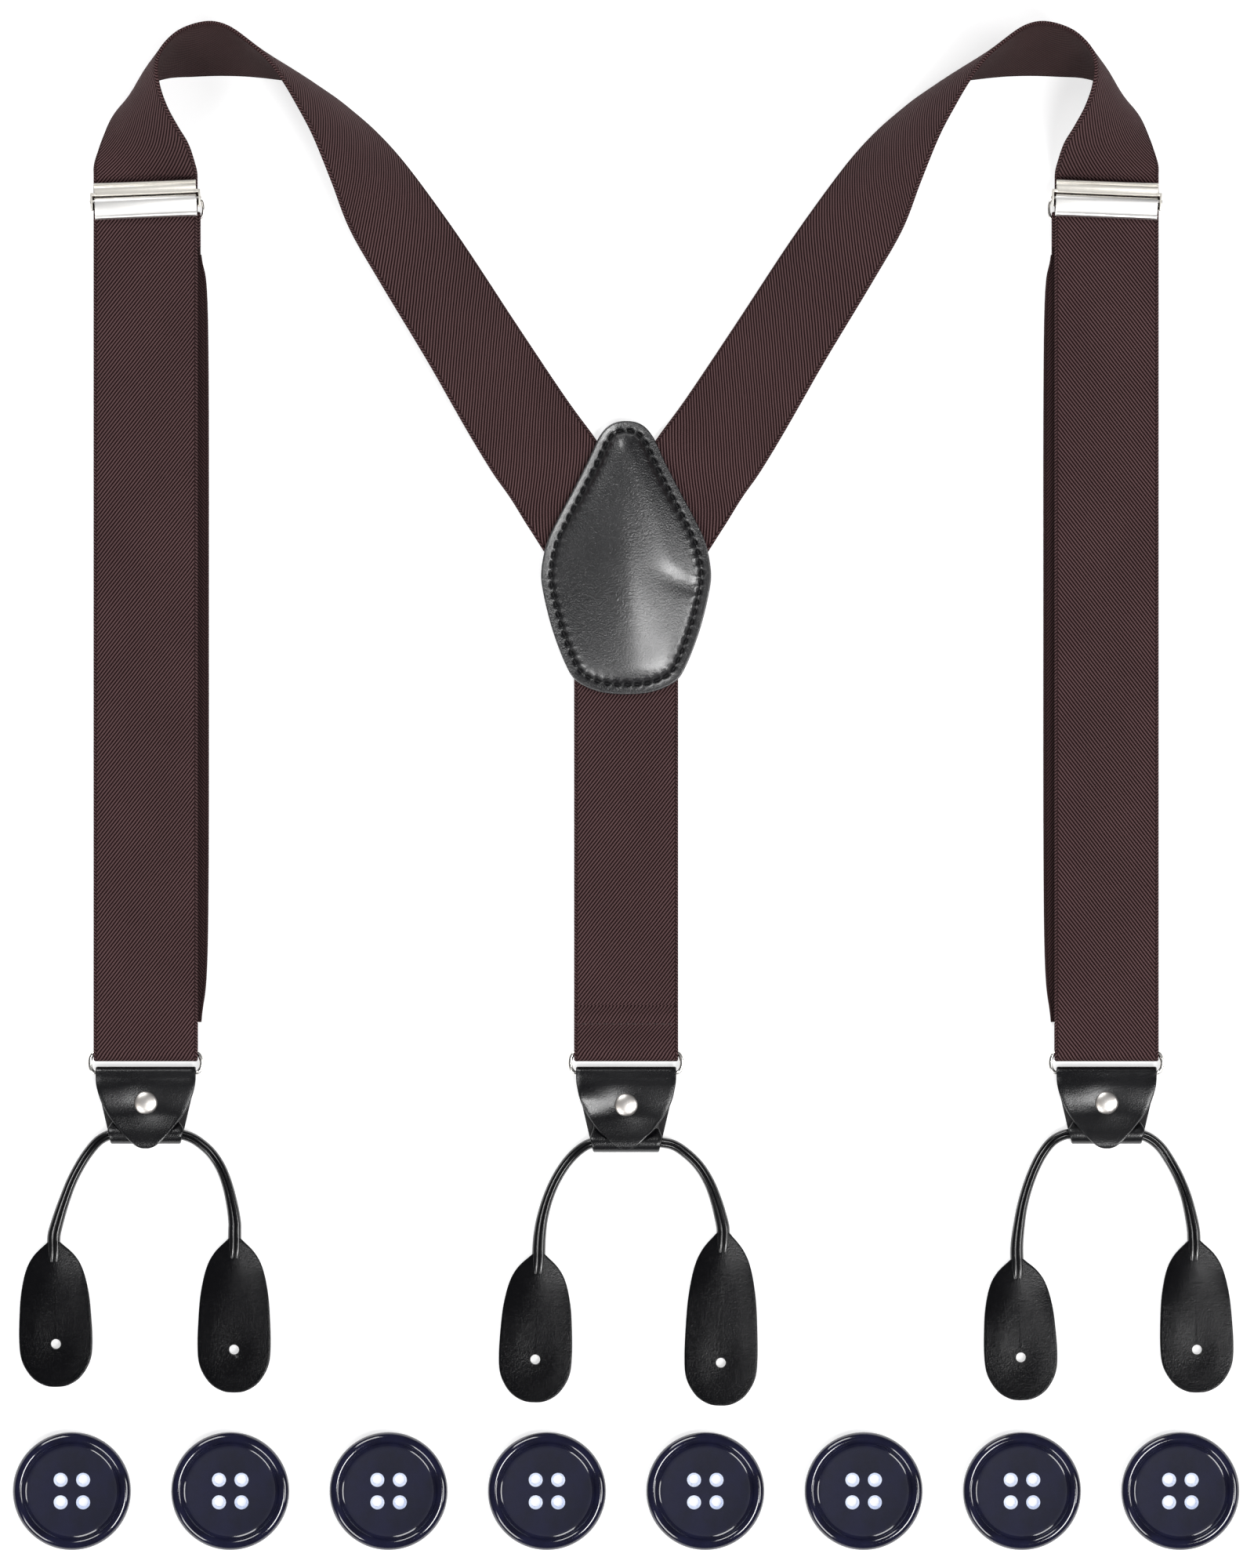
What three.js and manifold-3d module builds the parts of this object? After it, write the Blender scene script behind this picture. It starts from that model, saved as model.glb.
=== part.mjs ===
// A pair of Y-back suspenders laid flat, face up, with a row of eight trouser buttons below them.
// Millimetres. +Y runs from the button row to the shoulder loops, +Z is up, and z = 0 is the table.
import * as THREE from "three";
import { mergeVertices } from "three/addons/utils/BufferGeometryUtils.js";
import Module from "manifold-3d";

const wasm = await Module();
wasm.setup();

// Webbing
const WEB_WIDTH = 35;
const WEB_THICK = 1.4;
const WEB_HALF = WEB_WIDTH / 2;
const SIDE_X = 161.2; // centre of each front strap, left and right of the middle
const UNDER_Z = WEB_THICK / 2; // middle of the layer that lies on the table
const FOLD_R = 2.15; // middle of the webbing where it turns round a ring
const AXIS_Z = UNDER_Z + FOLD_R; // height of the rings' bars
const FRONT_Z = AXIS_Z + FOLD_R; // middle of the upper layer
const LOOP_START_Y = 204.7; // where the shoulder loop starts to twist
const RETURN_SHIFT = 3.4; // the hidden layer lies this much nearer to the middle
const RETURN_END_SHIFT = 1.2; // and this much at its two ends
const FOLD_TAIL = 10;
const GAP = 0.3;

// Rings: a wire loop with two long bars and rounded ends
const RING_TOP_Y = -89.2;
const RING_PITCH = 6.66;
const RING_LOW_Y = RING_TOP_Y - RING_PITCH;
const RING_WIRE_R = 0.75;
const RING_STRAIGHT = 17; // half length of each straight bar
const RING_END = 1.75; // how far each rounded end stands out

// Leather carriers, each folded round a ring and round a rolled leather loop
const LEATHER = 1.1;
const CARRIER_HALF = 16.3;
const CARRIER_FOLD_HALF = 10.5;
const CARRIER_RING_R = 1.55; // middle of the leather where it turns round the ring's bar
const CHANNEL_R = 2.15;
const CHANNEL_MID_R = CHANNEL_R + LEATHER / 2;
const CHANNEL_Z = CHANNEL_R + LEATHER;
const TAIL_Z = 2.85;
const RIVET_HOLE_R = 1.5;
const RIVET_POST_R = 1.2;
const RIVET_R = 3.9;

// Rolled leather loops and their tabs
const CORD_R = 1.75;
const CORD_REST_Z = 1.85;
const TAB_LENGTH = 50;
const TAB_REACH = 35.6; // from the usual tab's neck to the middle of its hole
const TAB_LEATHER = 1.3;
const TAB_HOLE_R = 1.65;
const TAB_SLIT = 19;

// Adjusters
const ADJUSTER_Y = 196.9;
const ADJUSTER_TILT = THREE.MathUtils.degToRad(2.3);
const ADJUSTER_HALF = 17.1; // half width of the front plate
const EAR_INNER = 17.75;
const EAR_OUTER = 18.4;
const EAR_HALF = 2.9;
const BACK_Z = 3.15; // underside of the back plate
const PLATE = 0.75;
const PIN_Z = 7.4;
const PIN_R = 0.5;
const PIN_BORE_R = 0.8;
const LINK_WIRE_R = 0.5;
const LINK_Z = 2.1;
const LINK_PITCH = 6;
const LINK_STRAIGHT = 17.2;
const LINK_END = 0.9;
const HEM_HALF = 17;

// Back patch, at the join of the three straps
const PATCH_MID_Y = 76.9;
const PATCH_HALF_X = 28.55;
const PATCH_HALF_Y = 45.9;
const BACKING_TOP = 1.2;
const PATCH_WEB_Z = BACKING_TOP + GAP + WEB_THICK / 2;
const FRONT_LEATHER_Z = PATCH_WEB_Z + WEB_THICK / 2 + GAP;

// Buttons
const BUTTON_COUNT = 8;
const BUTTON_R = 19.87;
const BUTTON_PITCH = 53.13;
const BUTTON_Y = -236.17;
const BUTTON_HOLE_R = 2.2;
const BUTTON_HOLE_OUT = 3.77;

const WEBBING = new THREE.MeshStandardMaterial({ color: 0x473334, roughness: 0.8 });
const BLACK_LEATHER = new THREE.MeshStandardMaterial({ color: 0x1b1a1f, roughness: 0.4 });
const PADDING = new THREE.MeshStandardMaterial({ color: 0x2a2a2a, roughness: 0.95 });
const THREAD = new THREE.MeshStandardMaterial({ color: 0x101013, roughness: 0.7 });
const NICKEL = new THREE.MeshStandardMaterial({ color: 0xd5d1ca, roughness: 0.25, metalness: 1 });
const NAVY = new THREE.MeshStandardMaterial({ color: 0x272a3e, roughness: 0.25 });

const suspenders = new THREE.Group();

function addPiece(name, geometry, material, parent = suspenders) {
  const mesh = new THREE.Mesh(geometry, material);
  mesh.name = name;
  parent.add(mesh);
  return mesh;
}

// ---- Solids ----

function solidOf(geometry) {
  const bare = geometry.clone();
  bare.deleteAttribute("normal");
  bare.deleteAttribute("uv");
  const merged = mergeVertices(bare, 1e-4);
  return new wasm.Manifold(
    new wasm.Mesh({
      numProp: 3,
      vertProperties: merged.attributes.position.array,
      triVerts: new Uint32Array(merged.index.array),
    }),
  );
}

function geometryOf(solid) {
  const made = solid.getMesh();
  const geometry = new THREE.BufferGeometry();
  geometry.setAttribute("position", new THREE.BufferAttribute(made.vertProperties, 3));
  geometry.setIndex(new THREE.BufferAttribute(made.triVerts, 1));
  return geometry;
}

function cut(geometry, ...tools) {
  return geometryOf(tools.reduce((rest, tool) => rest.subtract(solidOf(tool)), solidOf(geometry)));
}

function join(...pieces) {
  return geometryOf(pieces.map(solidOf).reduce((whole, piece) => whole.add(piece)));
}

function box(x0, x1, y0, y1, z0, z1) {
  const made = new THREE.BoxGeometry(x1 - x0, y1 - y0, z1 - z0);
  return made.translate((x0 + x1) / 2, (y0 + y1) / 2, (z0 + z1) / 2);
}

function rodAlongX(radius, halfLength, y, z, sides = 12) {
  const rod = new THREE.CylinderGeometry(radius, radius, 2 * halfLength, sides);
  return rod.rotateZ(Math.PI / 2).translate(0, y, z);
}

function rodAlongZ(radius, z0, z1, x, y, sides = 12) {
  const rod = new THREE.CylinderGeometry(radius, radius, z1 - z0, sides);
  return rod.rotateX(Math.PI / 2).translate(x, y, (z0 + z1) / 2);
}

// A geometry from points and faces, turned so that its faces point out.
function closedSurface(points, faces) {
  const geometry = new THREE.BufferGeometry();
  const flat = points.flatMap((p) => [p.x, p.y, p.z]);
  const volume = faces.reduce(
    (sum, [a, b, c]) => sum + points[a].dot(points[b].clone().cross(points[c])),
    0,
  );
  const outward = volume > 0 ? faces : faces.map(([a, b, c]) => [a, c, b]);
  geometry.setAttribute("position", new THREE.Float32BufferAttribute(flat, 3));
  geometry.setIndex(outward.flat());
  return geometry;
}

// Faces between rows of points. Each row is a closed ring of the same size.
function facesBetweenRings(rings, size, closeRound) {
  const faces = [];
  const last = closeRound ? rings : rings - 1;
  for (let i = 0; i < last; i++) {
    for (let j = 0; j < size; j++) {
      const a = i * size + j;
      const b = i * size + ((j + 1) % size);
      const c = ((i + 1) % rings) * size + j;
      const d = ((i + 1) % rings) * size + ((j + 1) % size);
      faces.push([a, b, d], [a, d, c]);
    }
  }
  return faces;
}

// A band of cloth or leather between two edges, given as rows of points of equal length.
function band(leftEdge, rightEdge, thickness) {
  const points = [];
  const count = leftEdge.length;
  const middle = leftEdge.map((p, i) => p.clone().add(rightEdge[i]).multiplyScalar(0.5));
  for (let i = 0; i < count; i++) {
    const ahead = middle[Math.min(i + 1, count - 1)];
    const behind = middle[Math.max(i - 1, 0)];
    const along = ahead.clone().sub(behind);
    const across = rightEdge[i].clone().sub(leftEdge[i]);
    const normal = across.cross(along).normalize().multiplyScalar(thickness / 2);
    points.push(leftEdge[i].clone().add(normal), rightEdge[i].clone().add(normal));
    points.push(rightEdge[i].clone().sub(normal), leftEdge[i].clone().sub(normal));
  }
  const faces = facesBetweenRings(count, 4, false);
  const end = 4 * (count - 1);
  faces.push([2, 1, 0], [3, 2, 0], [end, end + 1, end + 2], [end, end + 2, end + 3]);
  return closedSurface(points, faces);
}

// A band that runs in the YZ plane. Each row of path is y, z and half the band's width.
function levelBand(path, x, thickness) {
  const left = path.map(([y, z, half]) => new THREE.Vector3(x - half, y, z));
  const right = path.map(([y, z, half]) => new THREE.Vector3(x + half, y, z));
  return band(left, right, thickness);
}

// Points of an arc in the YZ plane, from one angle to another, in degrees from +Y towards +Z.
function arc(y, z, radius, from, to, steps, half) {
  const made = [];
  for (let i = 0; i <= steps; i++) {
    const angle = THREE.MathUtils.degToRad(from + ((to - from) * i) / steps);
    made.push([y + radius * Math.cos(angle), z + radius * Math.sin(angle), half]);
  }
  return made;
}

// A closed wire whose middle line is a row of points in a level plane.
function closedWire(line, z, radius, sides) {
  const points = [];
  line.forEach(([x, y], i) => {
    const [ax, ay] = line[(i + 1) % line.length];
    const [bx, by] = line[(i + line.length - 1) % line.length];
    const length = Math.hypot(ax - bx, ay - by);
    const outX = (ay - by) / length;
    const outY = (bx - ax) / length;
    for (let j = 0; j < sides; j++) {
      const angle = (2 * Math.PI * j) / sides;
      const out = radius * Math.cos(angle);
      points.push(new THREE.Vector3(x + outX * out, y + outY * out, z + radius * Math.sin(angle)));
    }
  });
  return closedSurface(points, facesBetweenRings(line.length, sides, true));
}

// The middle line of a wire loop with two bars along X and elliptical ends, its upper bar at y = 0.
function longLoop(straight, end, pitch, steps) {
  const line = [];
  for (const side of [1, -1]) {
    for (let i = 0; i <= steps; i++) {
      const angle = Math.PI * (i / steps - 0.5) * -side;
      const out = side * (straight + end * Math.cos(angle));
      line.push([out, -pitch / 2 + (pitch / 2) * Math.sin(angle)]);
    }
  }
  return line;
}

// ---- Webbing ----

// Rows of the shoulder loop: its outer edge, which stands on the table, then its inner edge, which is lifted.
// Each is a distance out from the middle and a y. The strap twists up on edge, turns, and comes down to the patch.
const SHOULDER_ROWS = [
  [178.7, 204.7, 143.7, 204.7],
  [178.6, 208.4, 144.7, 209.9],
  [177.4, 212.6, 146.5, 215.2],
  [175.4, 217.8, 149.7, 220.5],
  [172.1, 224.7, 153.2, 226.8],
  [166.8, 230.7, 155.8, 233.9],
  [160.8, 235.7, 156.6, 241.0],
  [153.7, 238.1, 154.7, 246.8],
  [145.0, 238.6, 148.9, 252.6],
  [135.8, 238.9, 140.5, 255.4],
  [126.1, 238.6, 133.7, 254.2],
  [116.1, 237.6, 126.8, 249.4],
  [107.4, 236.3, 120.8, 244.1],
  [99.2, 231.8, 115.5, 237.3],
  [91.8, 226.2, 110.5, 228.9],
  [83.9, 219.4, 104.5, 217.3],
  [75.3, 210.2, 98.4, 202.0],
  [64.7, 196.5, 92.1, 185.7],
  [53.4, 180.5, 82.9, 169.7],
  [37.1, 155.7, 65.0, 139.9],
  [20.3, 130.7, 48.0, 110.4],
  [10.3, 117.0, 39.9, 98.4],
  [3.9, 106.8, 33.5, 88.2],
  [0.8, 101.9, 22.8, 71.3],
];
const EDGE_REST_Z = 0.9; // middle of the edge that stands on the table
const FLAT_ROWS = 3; // rows at the end that lie flat inside the patch
const STEPS_PER_ROW = 3;

function shoulderEdges(side) {
  const rows = SHOULDER_ROWS.length;
  const outer = [];
  const inner = [];
  SHOULDER_ROWS.forEach(([outX, outY, inX, inY], i) => {
    const settled = Math.min(1, i / 4);
    const standing = i < rows - FLAT_ROWS;
    const z = standing ? FRONT_Z + (EDGE_REST_Z - FRONT_Z) * settled : PATCH_WEB_Z;
    const reach = Math.hypot(outX - inX, outY - inY);
    const lift = standing ? Math.sqrt(Math.max(0, WEB_WIDTH ** 2 - reach ** 2)) : 0;
    outer.push(new THREE.Vector3(side * outX, outY, z));
    inner.push(new THREE.Vector3(side * inX, inY, z + lift));
  });
  const outerCurve = new THREE.CatmullRomCurve3(outer, false, "catmullrom", 0.5);
  const innerCurve = new THREE.CatmullRomCurve3(inner, false, "catmullrom", 0.5);
  const steps = (rows - 1) * STEPS_PER_ROW;
  const edges = { outer: outerCurve.getPoints(steps), inner: innerCurve.getPoints(steps) };
  edges.outer.forEach((p, i) => {
    if (i > steps - STEPS_PER_ROW) return;
    const across = edges.inner[i].clone().sub(p).setLength(WEB_WIDTH);
    edges.inner[i].copy(p).add(across);
  });
  return edges;
}

// The upper layer of a front strap, from the short tail under its ring up to the shoulder loop.
const FRONT_PATH = [
  [RING_TOP_Y + FOLD_TAIL, UNDER_Z, WEB_HALF],
  [RING_TOP_Y + FOLD_TAIL / 2, UNDER_Z, WEB_HALF],
  ...arc(RING_TOP_Y, AXIS_Z, FOLD_R, 270, 90, 10, WEB_HALF),
  [RING_TOP_Y + 40, FRONT_Z, WEB_HALF],
  [60, FRONT_Z, WEB_HALF],
  [LOOP_START_Y - 2, FRONT_Z, WEB_HALF],
];

function shoulderStrap(side) {
  const loop = shoulderEdges(side);
  const outer = FRONT_PATH.map(([y, z, half]) => new THREE.Vector3(side * (SIDE_X + half), y, z));
  const inner = FRONT_PATH.map(([y, z, half]) => new THREE.Vector3(side * (SIDE_X - half), y, z));
  return band([...outer, ...loop.outer], [...inner, ...loop.inner], WEB_THICK);
}

const HEM_LENGTH = 12;
const HEM_BAR_Y = ADJUSTER_Y - LINK_PITCH;

// The under layer, which runs up behind the upper one from the ring to the hem on the adjuster.
function returnStrap(side) {
  const rows = [
    [RING_TOP_Y + FOLD_TAIL + GAP, RETURN_END_SHIFT],
    [-50, RETURN_SHIFT],
    [60, RETURN_SHIFT],
    [ADJUSTER_Y - 40, RETURN_SHIFT],
    [HEM_BAR_Y - HEM_LENGTH - GAP, RETURN_END_SHIFT],
  ];
  const edge = (half) =>
    rows.map(([y, shift]) => new THREE.Vector3(side * (SIDE_X - shift + half), y, UNDER_Z));
  return band(edge(WEB_HALF), edge(-WEB_HALF), WEB_THICK);
}

// The sewn hem that holds the under layer's end to the adjuster's link.
function returnHem(side) {
  const radius = LINK_Z - UNDER_Z;
  const path = [
    [HEM_BAR_Y - HEM_LENGTH, UNDER_Z, HEM_HALF],
    ...arc(HEM_BAR_Y, LINK_Z, radius, -90, 90, 8, HEM_HALF),
    [HEM_BAR_Y - HEM_LENGTH + 2, LINK_Z + radius, HEM_HALF],
  ];
  return levelBand(path, side * (SIDE_X - RETURN_END_SHIFT), WEB_THICK);
}

function backStrap() {
  const path = [
    [60, PATCH_WEB_Z, WEB_HALF],
    [28, PATCH_WEB_Z, WEB_HALF],
    [18, 1.3, WEB_HALF],
    [8, UNDER_Z, WEB_HALF],
    [-70, UNDER_Z, WEB_HALF],
    [-74, 1.3, WEB_HALF],
    [-77, 2.5, WEB_HALF],
    [-81, 2.7, WEB_HALF],
    [-85.5, 4.6, WEB_HALF],
    ...arc(RING_TOP_Y, AXIS_Z, FOLD_R, 90, 270, 10, WEB_HALF),
    [RING_TOP_Y + 6, UNDER_Z, WEB_HALF],
    [RING_TOP_Y + 11.5, UNDER_Z, WEB_HALF],
  ];
  return levelBand(path, 0, WEB_THICK);
}

// ---- Back patch ----

// Half of the patch's outline, from its top point down its right side to its bottom.
const PATCH_OUTLINE = [
  [0, 122.8],
  [5, 121.7],
  [8.9, 117.7],
  [18.4, 98.7],
  [26.6, 82.5],
  [28.5, 72.5],
  [27.8, 64.9],
  [24.8, 52.8],
  [20.4, 41.2],
  [16.5, 35.2],
  [9, 31.9],
  [0, 31],
];

function patchRing(inset, z) {
  const scaleX = 1 - inset / PATCH_HALF_X;
  const scaleY = 1 - inset / PATCH_HALF_Y;
  const left = PATCH_OUTLINE.slice(1, -1).map(([x, y]) => [-x, y]);
  const round = [...PATCH_OUTLINE, ...left.reverse()];
  return round.map(
    ([x, y]) => new THREE.Vector3(x * scaleX, PATCH_MID_Y + (y - PATCH_MID_Y) * scaleY, z),
  );
}

// A solid made of rings of the patch's outline. Each row is an inset and a z, from the middle of one face
// round the rim to the middle of the other.
function patchSolid(firstZ, rows, lastZ) {
  const rings = rows.map(([inset, z]) => patchRing(inset, z));
  const size = rings[0].length;
  const points = rings.flat();
  const faces = facesBetweenRings(rings.length, size, false);
  const first = points.length;
  points.push(new THREE.Vector3(0, PATCH_MID_Y, firstZ), new THREE.Vector3(0, PATCH_MID_Y, lastZ));
  const lastRing = (rings.length - 1) * size;
  for (let j = 0; j < size; j++) {
    const next = (j + 1) % size;
    faces.push([first, next, j], [first + 1, lastRing + j, lastRing + next]);
  }
  return closedSurface(points, faces);
}

function addPatch() {
  const low = FRONT_LEATHER_Z;
  const backing = patchSolid(0, [[0.8, 0], [0.8, BACKING_TOP]], BACKING_TOP);
  const padding = patchSolid(low, [[7, low], [8.5, low + 0.9], [13, low + 1.5]], low + 1.7);
  const front = patchSolid(
    low + 2.2,
    [[13, low + 2], [8, low + 1.3], [6, low], [0, low], [0, low + 1.1], [4.5, low + 1.1], [8, low + 2.4], [13, low + 3.1]],
    low + 3.3,
  );
  addPiece("patch_backing", backing, BLACK_LEATHER);
  addPiece("patch_padding", padding, PADDING);
  addPiece("patch_front", front, BLACK_LEATHER);
  const seam = new THREE.CatmullRomCurve3(patchRing(3.3, 0), true).getPoints(48).slice(0, -1);
  const line = seam.map((p) => [p.x, p.y]);
  addPiece("patch_seam_thread", closedWire(line, low + 1.1 + 2 * GAP, GAP, 5), THREAD);
}

// ---- Adjusters ----

function adjusterFrame(turn) {
  const back = box(-EAR_OUTER, EAR_OUTER, -EAR_HALF, EAR_HALF, BACK_Z, BACK_Z + PLATE);
  const tops = [-1, 1].map((s) =>
    box(
      Math.min(s * EAR_INNER, s * EAR_OUTER),
      Math.max(s * EAR_INNER, s * EAR_OUTER),
      -EAR_HALF,
      EAR_HALF,
      BACK_Z,
      PIN_Z + 1.2,
    ),
  );
  const bandZ = PIN_Z + 0.3;
  const plate = box(-ADJUSTER_HALF, ADJUSTER_HALF, 1.8, 6.05, bandZ, bandZ + 0.9);
  const bridge = box(-EAR_OUTER, EAR_OUTER, 1.8, EAR_HALF, bandZ, bandZ + 0.9);
  const tilted = join(back, ...tops, plate, bridge).rotateZ(turn);
  const lugs = [-12, 12].map((x) => box(x - 1.5, x + 1.5, -1.5, 1.5, LINK_Z - 1.1, BACK_Z + 0.2));
  const pinBore = rodAlongX(PIN_BORE_R, 25, 0, PIN_Z).rotateZ(turn);
  const linkBore = rodAlongX(LINK_WIRE_R + GAP, 25, 0, LINK_Z);
  return cut(join(tilted, ...lugs), pinBore, linkBore);
}

// The lever's side view in y and z, from its barrel along the plate to the lip at its free edge.
function adjusterLever() {
  const outline = new THREE.Shape();
  outline.absarc(0, PIN_Z, 1.35, Math.PI * 1.1, Math.PI * 0.35, false);
  outline.lineTo(-1.2, PIN_Z + 1.5);
  outline.lineTo(-3.6, PIN_Z + 1.35);
  outline.lineTo(-5.5, PIN_Z + 0.7);
  outline.lineTo(-6.05, PIN_Z - 0.3);
  outline.lineTo(-6.05, PIN_Z - 0.9);
  outline.lineTo(-5.5, PIN_Z - 0.9);
  outline.lineTo(-5.1, PIN_Z - 0.05);
  outline.lineTo(-3.4, PIN_Z + 0.5);
  const bore = new THREE.Path();
  bore.absarc(0, PIN_Z, PIN_BORE_R, 0, 2 * Math.PI, true);
  outline.holes.push(bore);
  const settings = { depth: 2 * ADJUSTER_HALF, bevelEnabled: false, curveSegments: 6 };
  const made = new THREE.ExtrudeGeometry(outline, settings);
  // the outline's x becomes y, its y becomes z, and the depth runs along x
  const turn = new THREE.Matrix4().set(0, 0, 1, -ADJUSTER_HALF, 1, 0, 0, 0, 0, 1, 0, 0, 0, 0, 0, 1);
  return made.applyMatrix4(turn);
}

function addAdjuster(name, side) {
  const place = new THREE.Group();
  place.position.set(side * SIDE_X, ADJUSTER_Y, 0);
  suspenders.add(place);
  const turn = -side * ADJUSTER_TILT;
  addPiece(`adjuster_frame_${name}`, adjusterFrame(turn), NICKEL, place);
  const lever = addPiece(`adjuster_lever_${name}`, adjusterLever(), NICKEL, place);
  lever.rotation.z = turn;
  const pin = addPiece(
    `adjuster_pin_${name}`,
    rodAlongX(PIN_R, EAR_OUTER + 0.5, 0, PIN_Z, 8),
    NICKEL,
    place,
  );
  pin.rotation.z = turn;
  const line = longLoop(LINK_STRAIGHT, LINK_END, LINK_PITCH, 5);
  const link = addPiece(
    `adjuster_link_${name}`,
    closedWire(line, LINK_Z, LINK_WIRE_R, 6),
    NICKEL,
    place,
  );
  link.position.x = -side * RETURN_END_SHIFT;
}

// ---- Rings, leather carriers and rivets ----

function addRing(name, x) {
  const line = longLoop(RING_STRAIGHT, RING_END, RING_PITCH, 9);
  const ring = addPiece(`ring_${name}`, closedWire(line, AXIS_Z, RING_WIRE_R, 6), NICKEL);
  ring.position.set(x, RING_TOP_Y, 0);
}

// The leather strip from the tip of its front flap, over the ring's bar, down the back and round the cord,
// then up between the two to its end under the rivet.
function carrierPath(foldY, rivetY, tipY) {
  const flapZ = AXIS_Z + CARRIER_RING_R;
  const backZ = AXIS_Z - CARRIER_RING_R;
  const capLow = rivetY - RIVET_R;
  const overZ = 7.1;
  return [
    [tipY, overZ - 0.2, 1.2],
    [tipY + 0.9, overZ + 0.1, 4.1],
    [tipY + 3.5, overZ + 0.2, 7.6],
    [capLow - 4.9, overZ, 9.9],
    [capLow - 2.6, (overZ + flapZ) / 2, 12],
    [capLow, flapZ, 13.6],
    [rivetY + 1.5, flapZ, 15.2],
    [rivetY + 7, flapZ, 16.1],
    ...arc(RING_LOW_Y, AXIS_Z, CARRIER_RING_R, 90, -90, 8, CARRIER_HALF),
    [rivetY + 4, backZ, 15.2],
    [rivetY - 5, backZ, 13.1],
    ...arc(foldY, CHANNEL_Z, CHANNEL_MID_R, 270, 50, 12, CARRIER_FOLD_HALF),
    [foldY + 4.7, TAIL_Z, CARRIER_FOLD_HALF],
    [rivetY, TAIL_Z, 9.5],
    [rivetY + 5, TAIL_Z, 8],
  ];
}

function addCarrier(name, x, foldY, rivetY, tipY) {
  const strip = levelBand(carrierPath(foldY, rivetY, tipY), 0, LEATHER);
  const carrier = cut(strip, rodAlongZ(RIVET_HOLE_R, -1, 9, 0, rivetY));
  addPiece(`carrier_${name}`, carrier, BLACK_LEATHER).position.x = x;
  const flapTop = AXIS_Z + CARRIER_RING_R + LEATHER / 2;
  const backLow = AXIS_Z - CARRIER_RING_R - LEATHER / 2;
  const cap = new THREE.LatheGeometry(
    [
      new THREE.Vector2(0, backLow),
      new THREE.Vector2(RIVET_POST_R, backLow),
      new THREE.Vector2(RIVET_POST_R, flapTop + GAP),
      new THREE.Vector2(RIVET_R, flapTop + GAP),
      new THREE.Vector2(RIVET_R, flapTop + GAP + 0.4),
      new THREE.Vector2(2.9, flapTop + GAP + 1.2),
      new THREE.Vector2(1.5, flapTop + GAP + 1.6),
      new THREE.Vector2(0, flapTop + GAP + 1.7),
    ],
    18,
  );
  addPiece(`rivet_cap_${name}`, cap.rotateX(Math.PI / 2), NICKEL).position.set(x, rivetY, 0);
  const back = rodAlongZ(3.4, 0, backLow - GAP, 0, 0, 18);
  addPiece(`rivet_back_${name}`, back, NICKEL).position.set(x, rivetY, 0);
}

// ---- Rolled leather loops and tabs ----

const TAB_SIDE = [
  [2.1, 0],
  [3.4, -1.4],
  [6.7, -4.4],
  [8.7, -7.5],
  [10.3, -12.5],
  [11.6, -20],
  [12.25, -28],
  [12.15, -36],
  [10.3, -42.6],
  [6.2, -47.9],
];
const SLIT_HALF = 0.2;

// The side of a tab whose hole lies the given reach below its neck: only the part above the hole is stretched.
function tabSide(reach) {
  const longer = reach - TAB_REACH;
  const stretch = reach / TAB_REACH;
  return TAB_SIDE.map(([x, y]) => [x, y > -TAB_REACH ? y * stretch : y - longer]);
}

// A flat tab with its neck at the origin, and a round hole with a slit above it.
function tabShape(reach) {
  const side = tabSide(reach);
  const outline = new THREE.Shape();
  outline.moveTo(-side[0][0], 0);
  outline.lineTo(...side[0]);
  outline.splineThru(side.slice(1).map(([x, y]) => new THREE.Vector2(x, y)));
  outline.splineThru([
    new THREE.Vector2(0, -TAB_LENGTH - reach + TAB_REACH),
    ...side.reverse().map(([x, y]) => new THREE.Vector2(-x, y)),
  ]);
  const hole = new THREE.Path();
  const start = Math.PI / 2 + Math.asin(SLIT_HALF / TAB_HOLE_R);
  hole.absarc(0, -reach, TAB_HOLE_R, start, Math.PI * 2.5 - (start - Math.PI / 2), false);
  hole.lineTo(SLIT_HALF, -reach + TAB_SLIT);
  hole.lineTo(-SLIT_HALF, -reach + TAB_SLIT);
  outline.holes.push(hole);
  return outline;
}

function addTab(name, holeX, holeY, degrees, reach) {
  const place = new THREE.Group();
  const angle = THREE.MathUtils.degToRad(degrees);
  place.rotation.z = angle;
  place.position.set(holeX - reach * Math.sin(angle), holeY + reach * Math.cos(angle), 0);
  suspenders.add(place);
  const settings = { depth: TAB_LEATHER, bevelEnabled: false, curveSegments: 2 };
  const shape = tabShape(reach);
  addPiece(`${name}_lining`, new THREE.ExtrudeGeometry(shape, settings), BLACK_LEATHER, place);
  const outer = new THREE.ExtrudeGeometry(shape, settings).translate(0, 0, TAB_LEATHER + GAP);
  addPiece(`${name}_leather`, outer, BLACK_LEATHER, place);
}

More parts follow.
